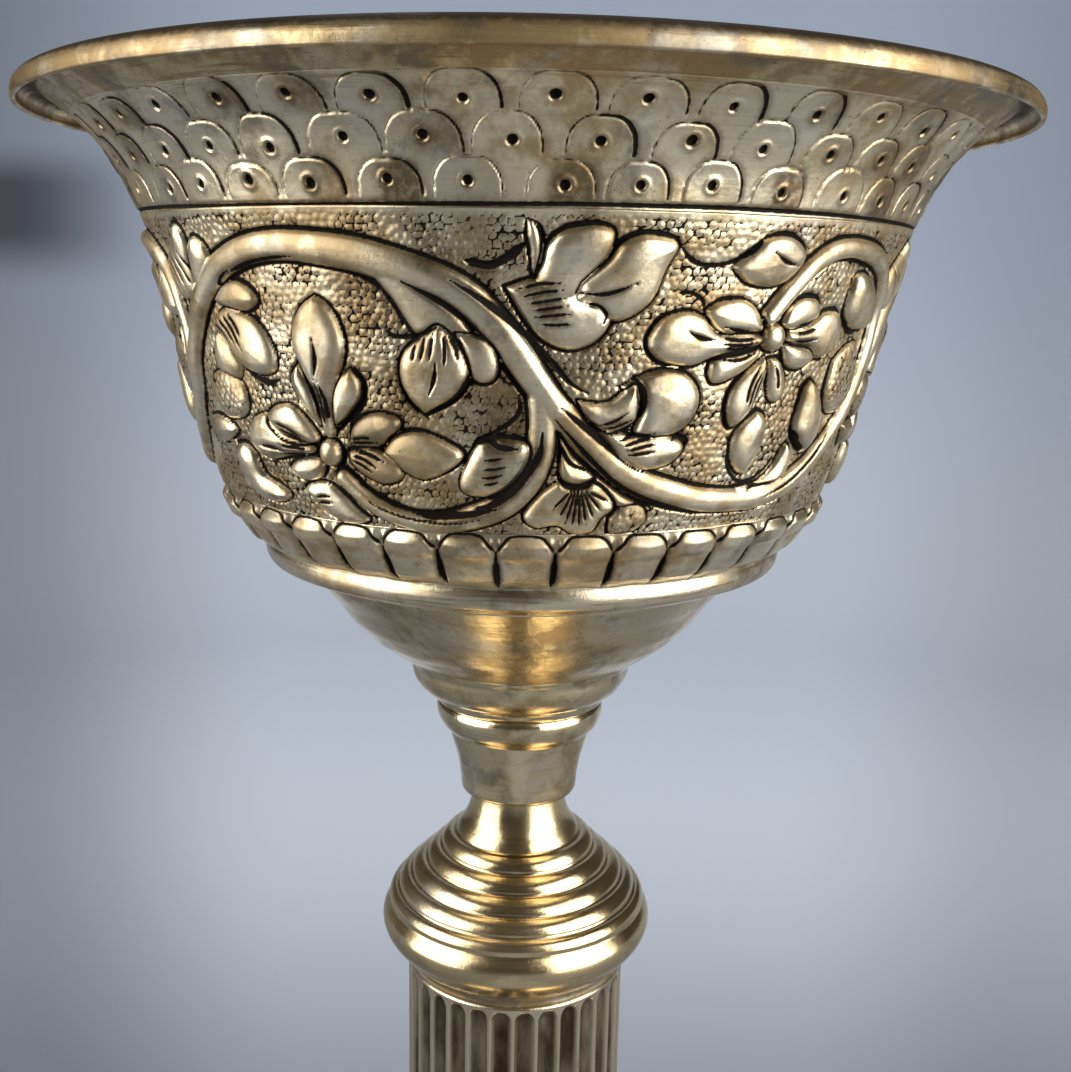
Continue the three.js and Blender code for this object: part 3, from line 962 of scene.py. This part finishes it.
def vine_band():
    """The vine in high relief on its punched ground. What is drawn later lies over what is drawn first."""
    wall = bowl_wall(UNDER_VINE, UNDER_SCALES, GRID)
    work = Chasing(ANGLE, wall, (-REPEAT, 0, REPEAT, 2 * REPEAT))
    work.matting += 1
    side_leaves(work)
    stems(work)
    hanging_leaf(work)
    big_leaf(work)
    fork_leaves(work)
    shell(work)
    left_flower(work)
    right_flower(work)
    dark_patches(work)
    work.matting *= ramp(work.up(-20.9) - work.y, 0, 0.8)[:, None]
    punch_ground(work)
    work.height += wander(ANGLE, wall[:, 1], 18, 0.12, 8)
    return band("bowl_vine_band", work, wall)


def dark_patches(work):
    """Darker patches in deep corners of the punched ground."""
    for angle, level, reach, amount in [
        (-20, -34, 6, 0.75),
        (-2, -49, 5, 0.6),
        (-17, -47, 5, 0.4),
        (-33, -38, 6, 0.3),
        (8, -41, 4, 0.4),
        (-44, -59, 6, 0.4),
        (24, -47, 4, 0.35),
    ]:
        for turn in work.turns:
            part, x, y = work.around(angle + turn, level, 2 * reach)
            patch = amount * np.exp(-((np.hypot(x, y) / reach) ** 2)) * work.matting[part]
            work.stain[part] = np.maximum(work.stain[part], patch)


# ---------------------------------------------------------------- the petal row


FIRST_GOUGE = -3.6  # degrees, of one gouge between two petals


def petal_band():
    """A row of petals with domed heads, which stand between short dark gouges."""
    wall = bowl_wall(UNDER_PETALS, UNDER_VINE, GRID)
    work = Chasing(ANGLE, wall)
    pitch = 360 / PETALS
    half = pitch / 2
    for k in range(PETALS):
        divider = FIRST_GOUGE + k * pitch
        middle = divider + half
        for turn in work.turns:
            part, x, off_y = work.around(middle + turn, -72, half * work.degree + 6)
            across = np.abs(x) / (half * work.degree)
            if x.size == 0:
                continue
            inside = ramp(across, 1.02, 0.8)
            head = ramp(off_y, -2.2, 0.6) * ramp(off_y, 3.9, 2.2)
            bump = 1.3 * np.sqrt(np.clip(1 - across**2, 0, 1)) * head
            body = 0.45 * (1 - across**4) * ramp(off_y, -6.5, -5.5) * (across < 1)
            petal = np.maximum(bump, body * (off_y < 3))
            work.height[part] = np.maximum(work.height[part], inside * petal)
        work.line([(divider, -71.8), (divider, -75), (divider, -78.4)], 0.55, 0.8, 0.9, 0.35)
        arch = [(divider, -71.6), (divider + 0.2 * pitch, -69), (middle, -68.5), (divider + 0.8 * pitch, -69)]
        work.line([*arch, (divider + pitch, -71.6)], 0.26, 0.4, 0.75, 0.1)
    work.height += wander(ANGLE, wall[:, 1], 10, 0.08, 11)
    return band("bowl_petal_band", work, wall)


# ---------------------------------------------------------------- turned and spun pieces


def spun(name, outside, thickness=SHEET, around=240):
    """A piece of even sheet, from its outside line running up."""
    line = np.array(outside, float)
    inside = line - thickness * outward(line)
    return turned(name, [*line, *inside[::-1]], around)


def rim():
    """The lip, which turns outward and down to a bare edge, and whose foot is out of sight in the wall."""
    middle = (RIM_R - LIP_R, -LIP_DROP)
    wall = bowl_wall(-4.3, -1.0, 0.5)
    hidden = [(wall[0][0] - 0.9, -5.0), (wall[0][0] - 0.16, -4.42)]
    inner = arc(*middle, LIP_R - SHEET, 128, -18, 20)
    edge = [(89.25, -3.12), (89.6, -3.28), (89.95, -3.15)]
    outer = arc(*middle, LIP_R, -14, 132, 24)
    lip = smooth([outer[-1], (83.4, -1.5), (81.6, -2.8), (80.3, -3.9)], 8)[1:]
    return turned("bowl_rim", [*hidden, *wall, *inner, *edge, *outer, *lip], 360)


def bowl_base():
    """The plain moulding under the petals and the dished floor inside it."""
    bead = arc(46.9, -80.5, 3.55, -38, 28, 8)
    outside = [
        (0.02, -87.45), (36, -87.25), (40, -86.4), (43.2, -85.1), (46.2, -84.2), (48.4, -82.9),
        *bead,
        (50.25, -78.6),
    ]
    inside = [
        (49.3, -78.4), (48.6, -80.4), (46.6, -82.6), (43, -84), (39.8, -85.4), (36, -86.3),
        (0.02, -86.55),
    ]
    return turned("bowl_base", [*outside, *inside], 300)


# The spun calyx with its quarter round, and the ferrule with its own: their outsides, running up.
CALYX = [
    (16.9, -114.2), (17.5, -113.7), (17.7, -113.0), (17.6, -112.5), (18.4, -112.2), (19.6, -111.6),
    (20.9, -110.3), (21.9, -108.6), (22.3, -106.6), (22.2, -105.6), (22.9, -105.2), (23.1, -104.6),
    (22.8, -104.2), (24.1, -104.1), (27.1, -102), (31.2, -99), (35, -95), (37.75, -91), (40.3, -88),
    (42.5, -85.3),
]

FERRULE = [
    (11.3, -134.1), (11.8, -134), (12, -133.3), (12.1, -131), (12.5, -128.4), (13, -126),
    (13.6, -124), (14.1, -122.2), (14.4, -121), (14.2, -120.6), (15.4, -120.1), (16.2, -119),
    (16.9, -117.4), (17.1, -115.6), (16.9, -114.7), (16.2, -114.1),
]


def rounded(points, spacing=0.5):
    """The line with its corners softened as polishing leaves them."""
    line = even(points, spacing)
    for _ in range(2):
        line[1:-1] = (line[:-2] + 2 * line[1:-1] + line[2:]) / 4
    return line


# Knop: the grooves between its reeds, from the top.
GROOVES = [
    (13.2, -143.8), (15.9, -146.8), (18.9, -149.8), (22.1, -152.7), (24.8, -155.7), (26.6, -158.3),
]


def knop():
    """The turned casting: a concave neck, five reeds, a broad roll and the hollow inside."""
    neck = smooth([(9.3, -130), (9.5, -134), (9.9, -137), (10.9, -140), (12.4, -142.2)], 16)
    reeds = []
    for top, bottom in zip(GROOVES[:-1], GROOVES[1:]):
        reeds += [top, *bulge(top, bottom, 0.95)]
    roll = smooth([GROOVES[-1], (28, -160.4), (28.3, -162.5), (27.6, -164.8), (26, -167), (24.6, -168.6)], 24)
    inside = [(21.4, -168.6), (24, -163), (20, -155), (12, -147.5), (4.6, -145), (4.6, -130)]
    return turned("knop_turning", [*neck, (12.9, -143.2), *reeds, *roll, *inside][::-1], 300)


def collar(name, end, way):
    """A plain band with a small round edge next to the column. way is 1 above the column and -1 below."""
    line = [
        (20.2, end + way * 0.3),
        (22.7, end + way * 0.3),
        (23.1, end + way * 0.5),
        (23.2, end + way * 0.8),
        (23.1, end + way * 1.1),
        (23.2, end + way * 2),
        (23.6, end + way * 2.5),
        (23.6, end + way * 2.7),
        (18, end + way * 2.7),
        (18, end - way * 6),
        (20.2, end - way * 6),
    ]
    return turned(name, line if way > 0 else line[::-1], 240)


def column():
    """A tube with round-bottomed flutes that end in an arch at each end."""
    ridge = 0.16  # of a flute's width, left as the flat crest between two
    top = TOP_OF_COLUMN
    ends = [0.05, 0.6, 1.0, 1.4, 1.8, 2.2, 2.6, 3.0, 3.4, 4.2, 6]
    middle = np.arange(FOOT_OF_COLUMN + 9, top - 8, 3)
    level = np.array([*[FOOT_OF_COLUMN + e for e in ends], *middle, *[top - e for e in ends[::-1]]])
    angle = np.linspace(0, 360, FLUTES * 24, endpoint=False)
    across = np.abs((angle * FLUTES / 360) % 1 - 0.5) * 2 / (1 - ridge)
    half = 0.5 * (1 - ridge) * 2 * math.pi * COLUMN_R / FLUTES
    from_end = np.minimum(top - level, level - FOOT_OF_COLUMN)[:, None] - 1.1
    arch = np.clip(1 - from_end / half, 0, 1)
    room = np.clip(1 - across[None, :] ** 2 - arch**2, 0, 1)
    depth = FLUTE_DEPTH * np.sqrt(room) * (from_end > 0)
    r = COLUMN_R - depth
    a = np.radians(angle)
    outside = np.stack([r * np.sin(a), -r * np.cos(a), level[:, None] + 0 * r], -1)
    inside = revolve([(20.5, top - 0.05), (20.5, FOOT_OF_COLUMN + 0.05)], angle)
    points = np.concatenate([outside, inside])
    piece = mesh_of("fluted_column", points.reshape(-1, 3), quads(len(points), len(angle), True, True))
    hollow = np.concatenate([depth / FLUTE_DEPTH, np.zeros((2, len(angle)))])
    add_layer(piece, "hollow", hollow)
    return piece


def foot_knop():
    """The turned ring between the lower band and the foot."""
    low = FOOT_OF_COLUMN - 14
    outside = [
        (18, low),
        (25.4, low),
        (25.9, low + 0.6),
        (25.6, low + 1.3),
        (25.2, low + 1.7),
        *arc(24, low + 6.4, 4.4, -66, 66, 16),
        (25, low + 10.7),
        (24.5, low + 10.95),
        (18, low + 10.95),
    ]
    return turned("foot_knop_turning", outside, 240)


def foot():
    """The spun foot: an ogee, a reeded shoulder and a rolled edge."""
    base = -RIM_Z  # what the vessel stands on
    shoulder = arc(50, base + 13.6, 12, 8, 82, 14)
    line = [
        *arc(64.5, base + 6.3, 3.4, -75, 78, 14),
        *bulge((64.6, base + 10), (62.4, base + 11.2), 0.5, 6),
        (62.2, base + 11.6),
        (61.6, base + 13.2),
        *shoulder[1:],
        (50.6, base + 25.9),
        *bulge((49.8, base + 26.6), (47.3, base + 27.9), 0.7, 8),
        (47, base + 28.4),
        *smooth(
            [
                (46, base + 29),
                (40.2, base + 32),
                (33.2, base + 37.2),
                (28.2, base + 43.8),
                (26.4, base + 49),
            ],
            24,
        ),
        (25.6, base + 50.6),
        (24.8, base + 51.55),
        (14, base + 51.6),
    ]
    return spun("foot_spinning", line, FOOT_SHEET, 300)


def felt():
    """The pad that the vessel stands on."""
    base = -RIM_Z
    edge = arc(60.2, base + 0.85, 0.8, -90, 90, 8)
    under = [(0.02, base + 0.05), (30, base + 0.02)]
    over = [(30, base + 1.65), (0.02, base + 1.6)]
    return turned("felt_base", [*under, *edge, *over], 240)


# ---------------------------------------------------------------- materials


class Paint:
    """One material. Its nodes read only places on the object and the pieces' own layers."""

    def __init__(self, name, **constants):
        self.material = bpy.data.materials.new(name)
        self.material.use_nodes = True
        self.tree = self.material.node_tree
        self.shader = self.tree.nodes["Principled BSDF"]
        for socket, value in constants.items():
            self.shader.inputs[socket.replace("_", " ")].default_value = value
        self.place = self.node("TexCoord", {}).outputs["Object"]

    def node(self, kind, inputs, **settings):
        made = self.tree.nodes.new("ShaderNode" + kind)
        for key, value in settings.items():
            setattr(made, key, value)
        for key, value in inputs.items():
            self.join(value, made.inputs[key])
        return made

    def join(self, value, socket):
        """Links a node's output to the socket, or sets the socket to a plain value."""
        if isinstance(value, bpy.types.NodeSocket):
            self.tree.links.new(value, socket)
        else:
            socket.default_value = value

    def noise(self, size, detail=3.0, rough=0.55, stretch=(1, 1, 1)):
        """Noise whose features are about size millimetres, stretched where a factor is under 1."""
        place = self.node("VectorMath", {0: self.place, 1: stretch}, operation="MULTIPLY").outputs[0]
        inputs = {"Vector": place, "Scale": 1 / (size * MM), "Detail": detail, "Roughness": rough}
        return self.node("TexNoise", inputs).outputs["Fac"]

    def layer(self, name):
        """A number that the piece's vertices hold."""
        return self.node("Attribute", {}, attribute_name=name).outputs["Fac"]

    def calc(self, operation, a, b=0.0, clamp=False):
        return self.node("Math", {0: a, 1: b}, operation=operation, use_clamp=clamp).outputs[0]

    def between(self, value, low, high, to_low=0.0, to_high=1.0):
        """Goes smoothly from to_low, where the value is low, to to_high, where it is high."""
        inputs = {"Value": value, 1: low, 2: high, 3: to_low, 4: to_high}
        return self.node("MapRange", inputs, interpolation_type="SMOOTHSTEP").outputs[0]

    def mix(self, factor, a, b):
        inputs = {"Factor": factor, 6: a, 7: b}
        return self.node("Mix", inputs, data_type="RGBA").outputs[2]

    def finish(self, colour, roughness, height, distance):
        """The material with its colour, its roughness and a bump of so many millimetres."""
        self.join(colour, self.shader.inputs["Base Color"])
        self.join(roughness, self.shader.inputs["Roughness"])
        bump = self.node("Bump", {"Height": height, "Distance": distance * MM, "Strength": 1.0})
        self.join(bump.outputs[0], self.shader.inputs["Normal"])
        return self.material


SILVER = (0.84, 0.72, 0.49, 1)
BRASS = (0.72, 0.56, 0.31, 1)
OCHRE = (0.33, 0.22, 0.1, 1)
COPPER = (0.62, 0.36, 0.25, 1)
OXIDE = (0.018, 0.015, 0.012, 1)
DULL_SILVER = (0.25, 0.2, 0.13, 1)
BRIGHT_SILVER = (0.9, 0.84, 0.7, 1)
# brown for tarnish and painted shade round the chased lines
SHADE_AND_TARNISH_BROWN = (0.2, 0.13, 0.06, 1)
CRUST = (0.05, 0.035, 0.02, 1)
CREST = (0.74, 0.62, 0.42, 1)
FLUTE_HOLLOW_BROWN = (0.06, 0.038, 0.02, 1)


def plated(name, metal=SILVER, tarnish=0.5, polish=0.24, chased=False, brushed=0.5, wave=0.25, lip=False):
    """Worn silver plate: brass showing through, brown tarnish, pits and lathe or polishing lines.

    tarnish, brushed and wave are how much brown, how many lines and how much unevenness there is, and polish
    is the roughness where it is brightest. chased reads the layers of a chased band, and lip adds the black
    crust on top of the lip.
    """
    paint = Paint(name, Metallic=1.0)
    broad = paint.noise(24, 4)
    blotch = paint.noise(5, 6, 0.62)
    speck = paint.noise(0.5, 3, 0.6)
    lines = paint.noise(0.45, 4, 0.7, (0.03, 0.03, 1))
    fine = paint.noise(1.2, 5, 0.6)
    worn = paint.calc("ADD", paint.calc("MULTIPLY", broad, 0.55), paint.calc("MULTIPLY", blotch, 0.45))
    colour = paint.mix(paint.between(worn, 0.42, 0.6, 0, 0.6), metal, BRASS)
    brown = paint.between(worn, 0.60 - 0.16 * tarnish, 0.72 - 0.16 * tarnish, 0, 0.7 * tarnish + 0.1)
    colour = paint.mix(brown, colour, OCHRE)
    grey = paint.between(paint.noise(11, 5, 0.6), 0.55, 0.64, 0, 0.8 * tarnish)
    colour = paint.mix(grey, colour, DULL_SILVER)
    bright = paint.between(paint.noise(14, 5, 0.65), 0.5, 0.64, 0, 0.35)
    colour = paint.mix(bright, colour, BRIGHT_SILVER)
    streak = paint.between(lines, 0.5, 0.68, 0, brushed)
    if chased:
        level = paint.node("SeparateXYZ", {0: paint.place}).outputs[2]
        near_lip = paint.between(level, (RIM_Z - 7) * MM, (RIM_Z - 4.5) * MM, 0.3, 1.3)
        streak = paint.calc("MULTIPLY", streak, near_lip)
    colour = paint.mix(streak, colour, OCHRE)
    pink = paint.between(paint.noise(7, 4), 0.64, 0.72, 0, 0.4)
    colour = paint.mix(pink, colour, COPPER)
    pits = paint.between(speck, 0.64, 0.72, 0, 0.6)
    colour = paint.mix(pits, colour, OXIDE)
    rough = paint.between(broad, 0.35, 0.65, polish, polish + 0.12)
    rough = paint.calc("ADD", rough, paint.calc("MULTIPLY", brown, 0.12))
    bump = paint.calc("MULTIPLY", lines, 0.1 * brushed)
    bump = paint.calc("ADD", bump, paint.calc("MULTIPLY", fine, 0.14))
    bump = paint.calc("ADD", bump, paint.calc("MULTIPLY", blotch, wave))
    if chased:
        black = paint.layer("black")
        ground = paint.layer("matting")
        film = paint.calc("MULTIPLY", ground, paint.between(blotch, 0.4, 0.62, 0.1, 0.6))
        colour = paint.mix(film, colour, OCHRE)
        # Partly tarnish and partly painted shade: brown near the cut lines and stains.
        near = paint.between(paint.layer("shade_and_tarnish"), 0.03, 0.4, 0, 0.85)
        near = paint.calc("MULTIPLY", near, paint.between(fine, 0.3, 0.6, 0.6, 1.1), True)
        colour = paint.mix(near, colour, SHADE_AND_TARNISH_BROWN)
        uneven = paint.between(paint.calc("ADD", black, paint.calc("MULTIPLY", fine, 0.3)), 0.3, 0.62)
        colour = paint.mix(uneven, colour, OXIDE)
        rough = paint.calc("ADD", rough, paint.calc("MULTIPLY", uneven, 0.35), True)
    if lip:
        level = paint.node("SeparateXYZ", {0: paint.place}).outputs[2]
        ragged = paint.calc("ADD", level, paint.calc("MULTIPLY", paint.calc("SUBTRACT", fine, 0.5), 1.2 * MM))
        crust = paint.between(ragged, (RIM_Z - 1.2) * MM, (RIM_Z - 0.1) * MM, 0, 0.93)
        colour = paint.mix(crust, colour, CRUST)
        rough = paint.calc("ADD", rough, paint.calc("MULTIPLY", crust, 0.25), True)
    return paint.finish(colour, rough, bump, 0.25)


def fluted(name):
    """The column's plate: polished crests and hollows that are darker and browner."""
    paint = Paint(name, Metallic=1.0)
    hollow = paint.layer("hollow")
    blotch = paint.noise(6, 5, 0.6, (1, 1, 0.35))
    fine = paint.noise(0.9, 5, 0.65, (1, 1, 0.1))
    deep = paint.between(hollow, 0.05, 0.8)
    tone = paint.calc("MULTIPLY", deep, paint.between(blotch, 0.3, 0.65, 0.7, 1.0))
    # The hollows are painted darker and browner.
    colour = paint.mix(tone, CREST, FLUTE_HOLLOW_BROWN)
    colour = paint.mix(paint.between(fine, 0.6, 0.75, 0, 0.4), colour, OXIDE)
    rough = paint.between(tone, 0.0, 0.8, 0.24, 0.42)
    return paint.finish(colour, rough, paint.calc("ADD", fine, blotch), 0.06)


def bare_metal(name, colour, shade, rough, size=2.0, metallic=1.0):
    """Unplated metal inside the vessel, with stains and a dull, uneven face."""
    paint = Paint(name, Metallic=metallic)
    stain = paint.noise(size * 3, 5, 0.6)
    grain = paint.noise(size * 0.3, 4, 0.6)
    tone = paint.mix(paint.between(stain, 0.42, 0.66), colour, shade)
    return paint.finish(tone, paint.between(stain, 0.3, 0.7, rough, rough + 0.2), grain, 0.12)


def cloth(name, colour, shade):
    """Felt: matted fibres with no direction."""
    paint = Paint(name, Sheen_Weight=0.6, Sheen_Roughness=0.5)
    fibres = paint.noise(0.5, 6, 0.75)
    patch = paint.noise(9, 3)
    tone = paint.mix(paint.between(paint.calc("ADD", fibres, patch), 0.8, 1.2), colour, shade)
    return paint.finish(tone, paint.between(patch, 0.3, 0.7, 0.86, 0.98), fibres, 0.5)


def vulcanised(name):
    """Pressed red-brown fibre."""
    paint = Paint(name)
    grain = paint.noise(0.8, 5, 0.7)
    tone = paint.mix(paint.between(grain, 0.4, 0.62), (0.16, 0.05, 0.03, 1), (0.24, 0.09, 0.05, 1))
    return paint.finish(tone, paint.between(grain, 0.3, 0.7, 0.6, 0.8), grain, 0.1)


def dress_cad(material, *nodes):
    """The CAD nodes that are kept as they are get the material."""
    for node in nodes:
        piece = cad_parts[node]
        piece.data.materials.clear()
        piece.data.materials.append(material)


# ---------------------------------------------------------------- the vessel


def vessel():
    """Every visible piece, from the lip down, and then what is hidden inside."""
    chased = plated("chased_plate", tarnish=0.8, polish=0.29, chased=True, brushed=0.6, wave=0.5)
    brushed = plated("brushed_plate", tarnish=0.75, polish=0.24, brushed=0.8)
    smooth_plate = plated("smooth_plate", metal=(0.82, 0.67, 0.4, 1), tarnish=0.8, polish=0.13, brushed=0.3)
    dull = plated("dull_brass", metal=BRASS, tarnish=1.1, polish=0.28, brushed=0.3)
    lathe = plated("turned_brass", metal=BRASS, tarnish=0.3, polish=0.16, brushed=0.4, wave=0.12)
    lip = plated("lip_plate", metal=BRASS, tarnish=1.1, polish=0.27, brushed=0.9, lip=True)
    dress(rim(), lip, "bowl", "chased_plate", "bowl_shell")
    dress(scale_band(), chased, "bowl", "chased_plate", "bowl_shell")
    dress(vine_band(), chased, "bowl", "chased_plate", "bowl_shell")
    dress(petal_band(), chased, "bowl", "chased_plate", "bowl_shell")
    dress(bowl_base(), brushed, "bowl", "chased_plate", "bowl_shell")
    dress(spun("calyx_cup", rounded(CALYX)), smooth_plate, "bowl", "plain_plate", "calyx")
    dress(spun("ferrule_socket", rounded(FERRULE)), smooth_plate, "bowl", "plain_plate", "neck_ferrule")
    dress(knop(), lathe, "stem", "turned_brass", "knop")
    dress(collar("upper_band", TOP_OF_COLUMN, 1), dull, "stem", "collar_plate", "top_collar")
    dress(column(), fluted("fluted_plate"), "stem", "column_plate", "column")
    dress(collar("lower_band", FOOT_OF_COLUMN, -1), dull, "stem", "collar_plate", "bottom_collar")
    dress(foot_knop(), lathe, "stem", "turned_brass", "foot_knop")
    dress(foot(), smooth_plate, "stem", "foot_plate", "foot_shell")
    green = cloth("green_felt", (0.02, 0.06, 0.03, 1), (0.045, 0.11, 0.06, 1))
    dress(felt(), green, "stem", "felt", "felt_pad")
    brass = bare_metal("bare_brass", (0.62, 0.45, 0.2, 1), (0.3, 0.2, 0.09, 1), 0.35)
    dress_cad(brass, "threaded_boss", "stem_nut", "lower_nut")
    steel = bare_metal("dull_steel", (0.42, 0.41, 0.4, 1), (0.2, 0.17, 0.14, 1), 0.4)
    dress_cad(steel, "stem_washer", "lower_washer", "lock_washer", "tie_rod", "base_cover")
    iron = bare_metal("cast_iron", (0.09, 0.08, 0.08, 1), (0.13, 0.06, 0.03, 1), 0.65, 4.0, 0.6)
    dress_cad(iron, "ballast")
    dress_cad(vulcanised("red_fibre"), "seat_washer")


# ---------------------------------------------------------------- studio


# Metres from the vessel's axis back to the camera, and from the floor up to it, for the cove's paint.
EYE_BACK = 0.24
EYE_HEIGHT = 0.31
PALE_FLOOR = (0.58, 0.595, 0.625, 1)
PALE_WALL = (0.44, 0.475, 0.54, 1)
SHADED_PAPER = (0.09, 0.095, 0.11, 1)
PAINTED_SHADOW = (0.03, 0.03, 0.035, 1)  # a painted shadow of the vessel on the wall behind it, at the left


def cove():
    """A round studio cove: a floor that curves up into a wall, painted as the camera sees it, with painted
    shade toward the edges and the bottom of the view and a painted shadow of the vessel at the left.

    aside and up are how far a place lies beside and above the middle of the view, for its distance.
    """
    radius = 1500
    bend = 700
    outline = [(0.5, 0), (400, 0), *arc(radius - bend, bend, bend, -90, 0, 24), (radius, 1900)]
    a = np.arange(0, 360, 5)
    points = revolve(outline, a) - (0, 0, RIM_Z)
    wall = mesh_of("studio_cove", points.reshape(-1, 3), quads(len(outline), len(a), True)[:, ::-1])
    paint = Paint("pale_paper", Roughness=0.9)
    x, y, height = paint.node("SeparateXYZ", {0: paint.place}).outputs
    ahead = paint.calc("MAXIMUM", paint.calc("ADD", y, EYE_BACK), 0.2)
    aside = paint.calc("DIVIDE", x, ahead)
    up = paint.calc("DIVIDE", paint.calc("SUBTRACT", height, EYE_HEIGHT), ahead)
    tone = paint.mix(paint.between(up, -0.25, 0.12), PALE_FLOOR, PALE_WALL)
    # Painted shade: the paper darkens toward the left and right edges of the view and toward its bottom.
    for value, low, high, shade in [
        (aside, -0.2, -0.46, 0.6),
        (aside, 0.22, 0.46, 0.34),
        (up, -0.4, -0.8, 0.68),
    ]:
        tone = paint.mix(paint.between(value, low, high, 0, shade), tone, SHADED_PAPER)
    # A painted shadow of the vessel on the wall, at the left of the view.
    painted_shadow = paint.calc("MULTIPLY", paint.between(up, -0.02, 0.03), paint.between(up, 0.1, 0.06))
    painted_shadow = paint.calc("MULTIPLY", painted_shadow, paint.between(aside, -0.29, -0.42, 0, 0.85))
    tone = paint.mix(painted_shadow, tone, PAINTED_SHADOW)
    paint.join(tone, paint.shader.inputs["Base Color"])
    wall.data.materials.append(paint.material)


def soft_box(name, azimuth, elevation, distance, width, height, power):
    """A large soft light that faces the bowl, from so many degrees and metres away."""
    lamp = bpy.data.lights.new(name, "AREA")
    lamp.shape = "RECTANGLE"
    lamp.size = width
    lamp.size_y = height
    lamp.energy = power
    box = bpy.data.objects.new(name, lamp)
    a = math.radians(azimuth)
    e = math.radians(elevation)
    out = np.array([math.sin(a) * math.cos(e), -math.cos(a) * math.cos(e), math.sin(e)])
    box.location = out * distance + (0, 0, (RIM_Z - 60) * MM)
    box.rotation_euler = (math.pi / 2 - e, 0, a)
    box.visible_camera = False
    bpy.context.scene.collection.objects.link(box)


def dark_room():
    """The unlit room round the lights, all but the wall behind the vessel. It shows only in reflections."""
    angle = np.radians(np.arange(-152, 153, 8))
    high = np.radians([-38, -25, -12, 0, 15, 30, 45, 60, 75, 88])
    radius = 1250
    r = radius * np.cos(high)[:, None]
    x = r * np.sin(angle)
    y = -r * np.cos(angle)
    z = radius * np.sin(high)[:, None] + 0 * angle - 60
    points = np.stack([x, y, z], -1)
    shade = mesh_of("dark_room", points.reshape(-1, 3), quads(len(high), len(angle), False))
    shade.visible_camera = False
    shade.visible_diffuse = False
    shade.visible_shadow = False
    paint = Paint("dark_cloth", Roughness=1.0, Emission_Color=(0.06, 0.052, 0.045, 1), Emission_Strength=1.0)
    paint.shader.inputs["Base Color"].default_value = (0, 0, 0, 1)
    shade.data.materials.append(paint.material)


def studio():
    """The cove, the room that the metal mirrors, two windows and a cool, even light from all round."""
    cove()
    dark_room()
    soft_box("left_window", -66, 8, 0.8, 0.72, 1.1, 9)
    soft_box("right_window", 58, 8, 0.8, 0.8, 1.1, 12)
    world = bpy.data.worlds.new("room")
    world.use_nodes = True
    world.node_tree.nodes["Background"].inputs["Color"].default_value = (0.42, 0.46, 0.52, 1)
    world.node_tree.nodes["Background"].inputs["Strength"].default_value = 2.4
    bpy.context.scene.world = world
    bpy.context.scene.view_settings.view_transform = "Standard"


def camera():
    """The photographer's view: a little below the rim, close, tipped down and slightly rolled."""
    lens = bpy.data.cameras.new("camera")
    lens.lens = 41
    lens.sensor_width = 36
    lens.clip_start = 0.01
    eye = bpy.data.objects.new("camera", lens)
    tip = Matrix.Rotation(math.radians(90 - 12.05), 4, "X")
    roll = Matrix.Rotation(math.radians(1.139), 4, "Z")
    place = Matrix.Translation((0.0026, -0.24028, (RIM_Z - 29.4) * MM))
    eye.matrix_world = place @ (tip @ roll)
    bpy.context.scene.collection.objects.link(eye)
    bpy.context.scene.camera = eye


camera()
studio()
vessel()
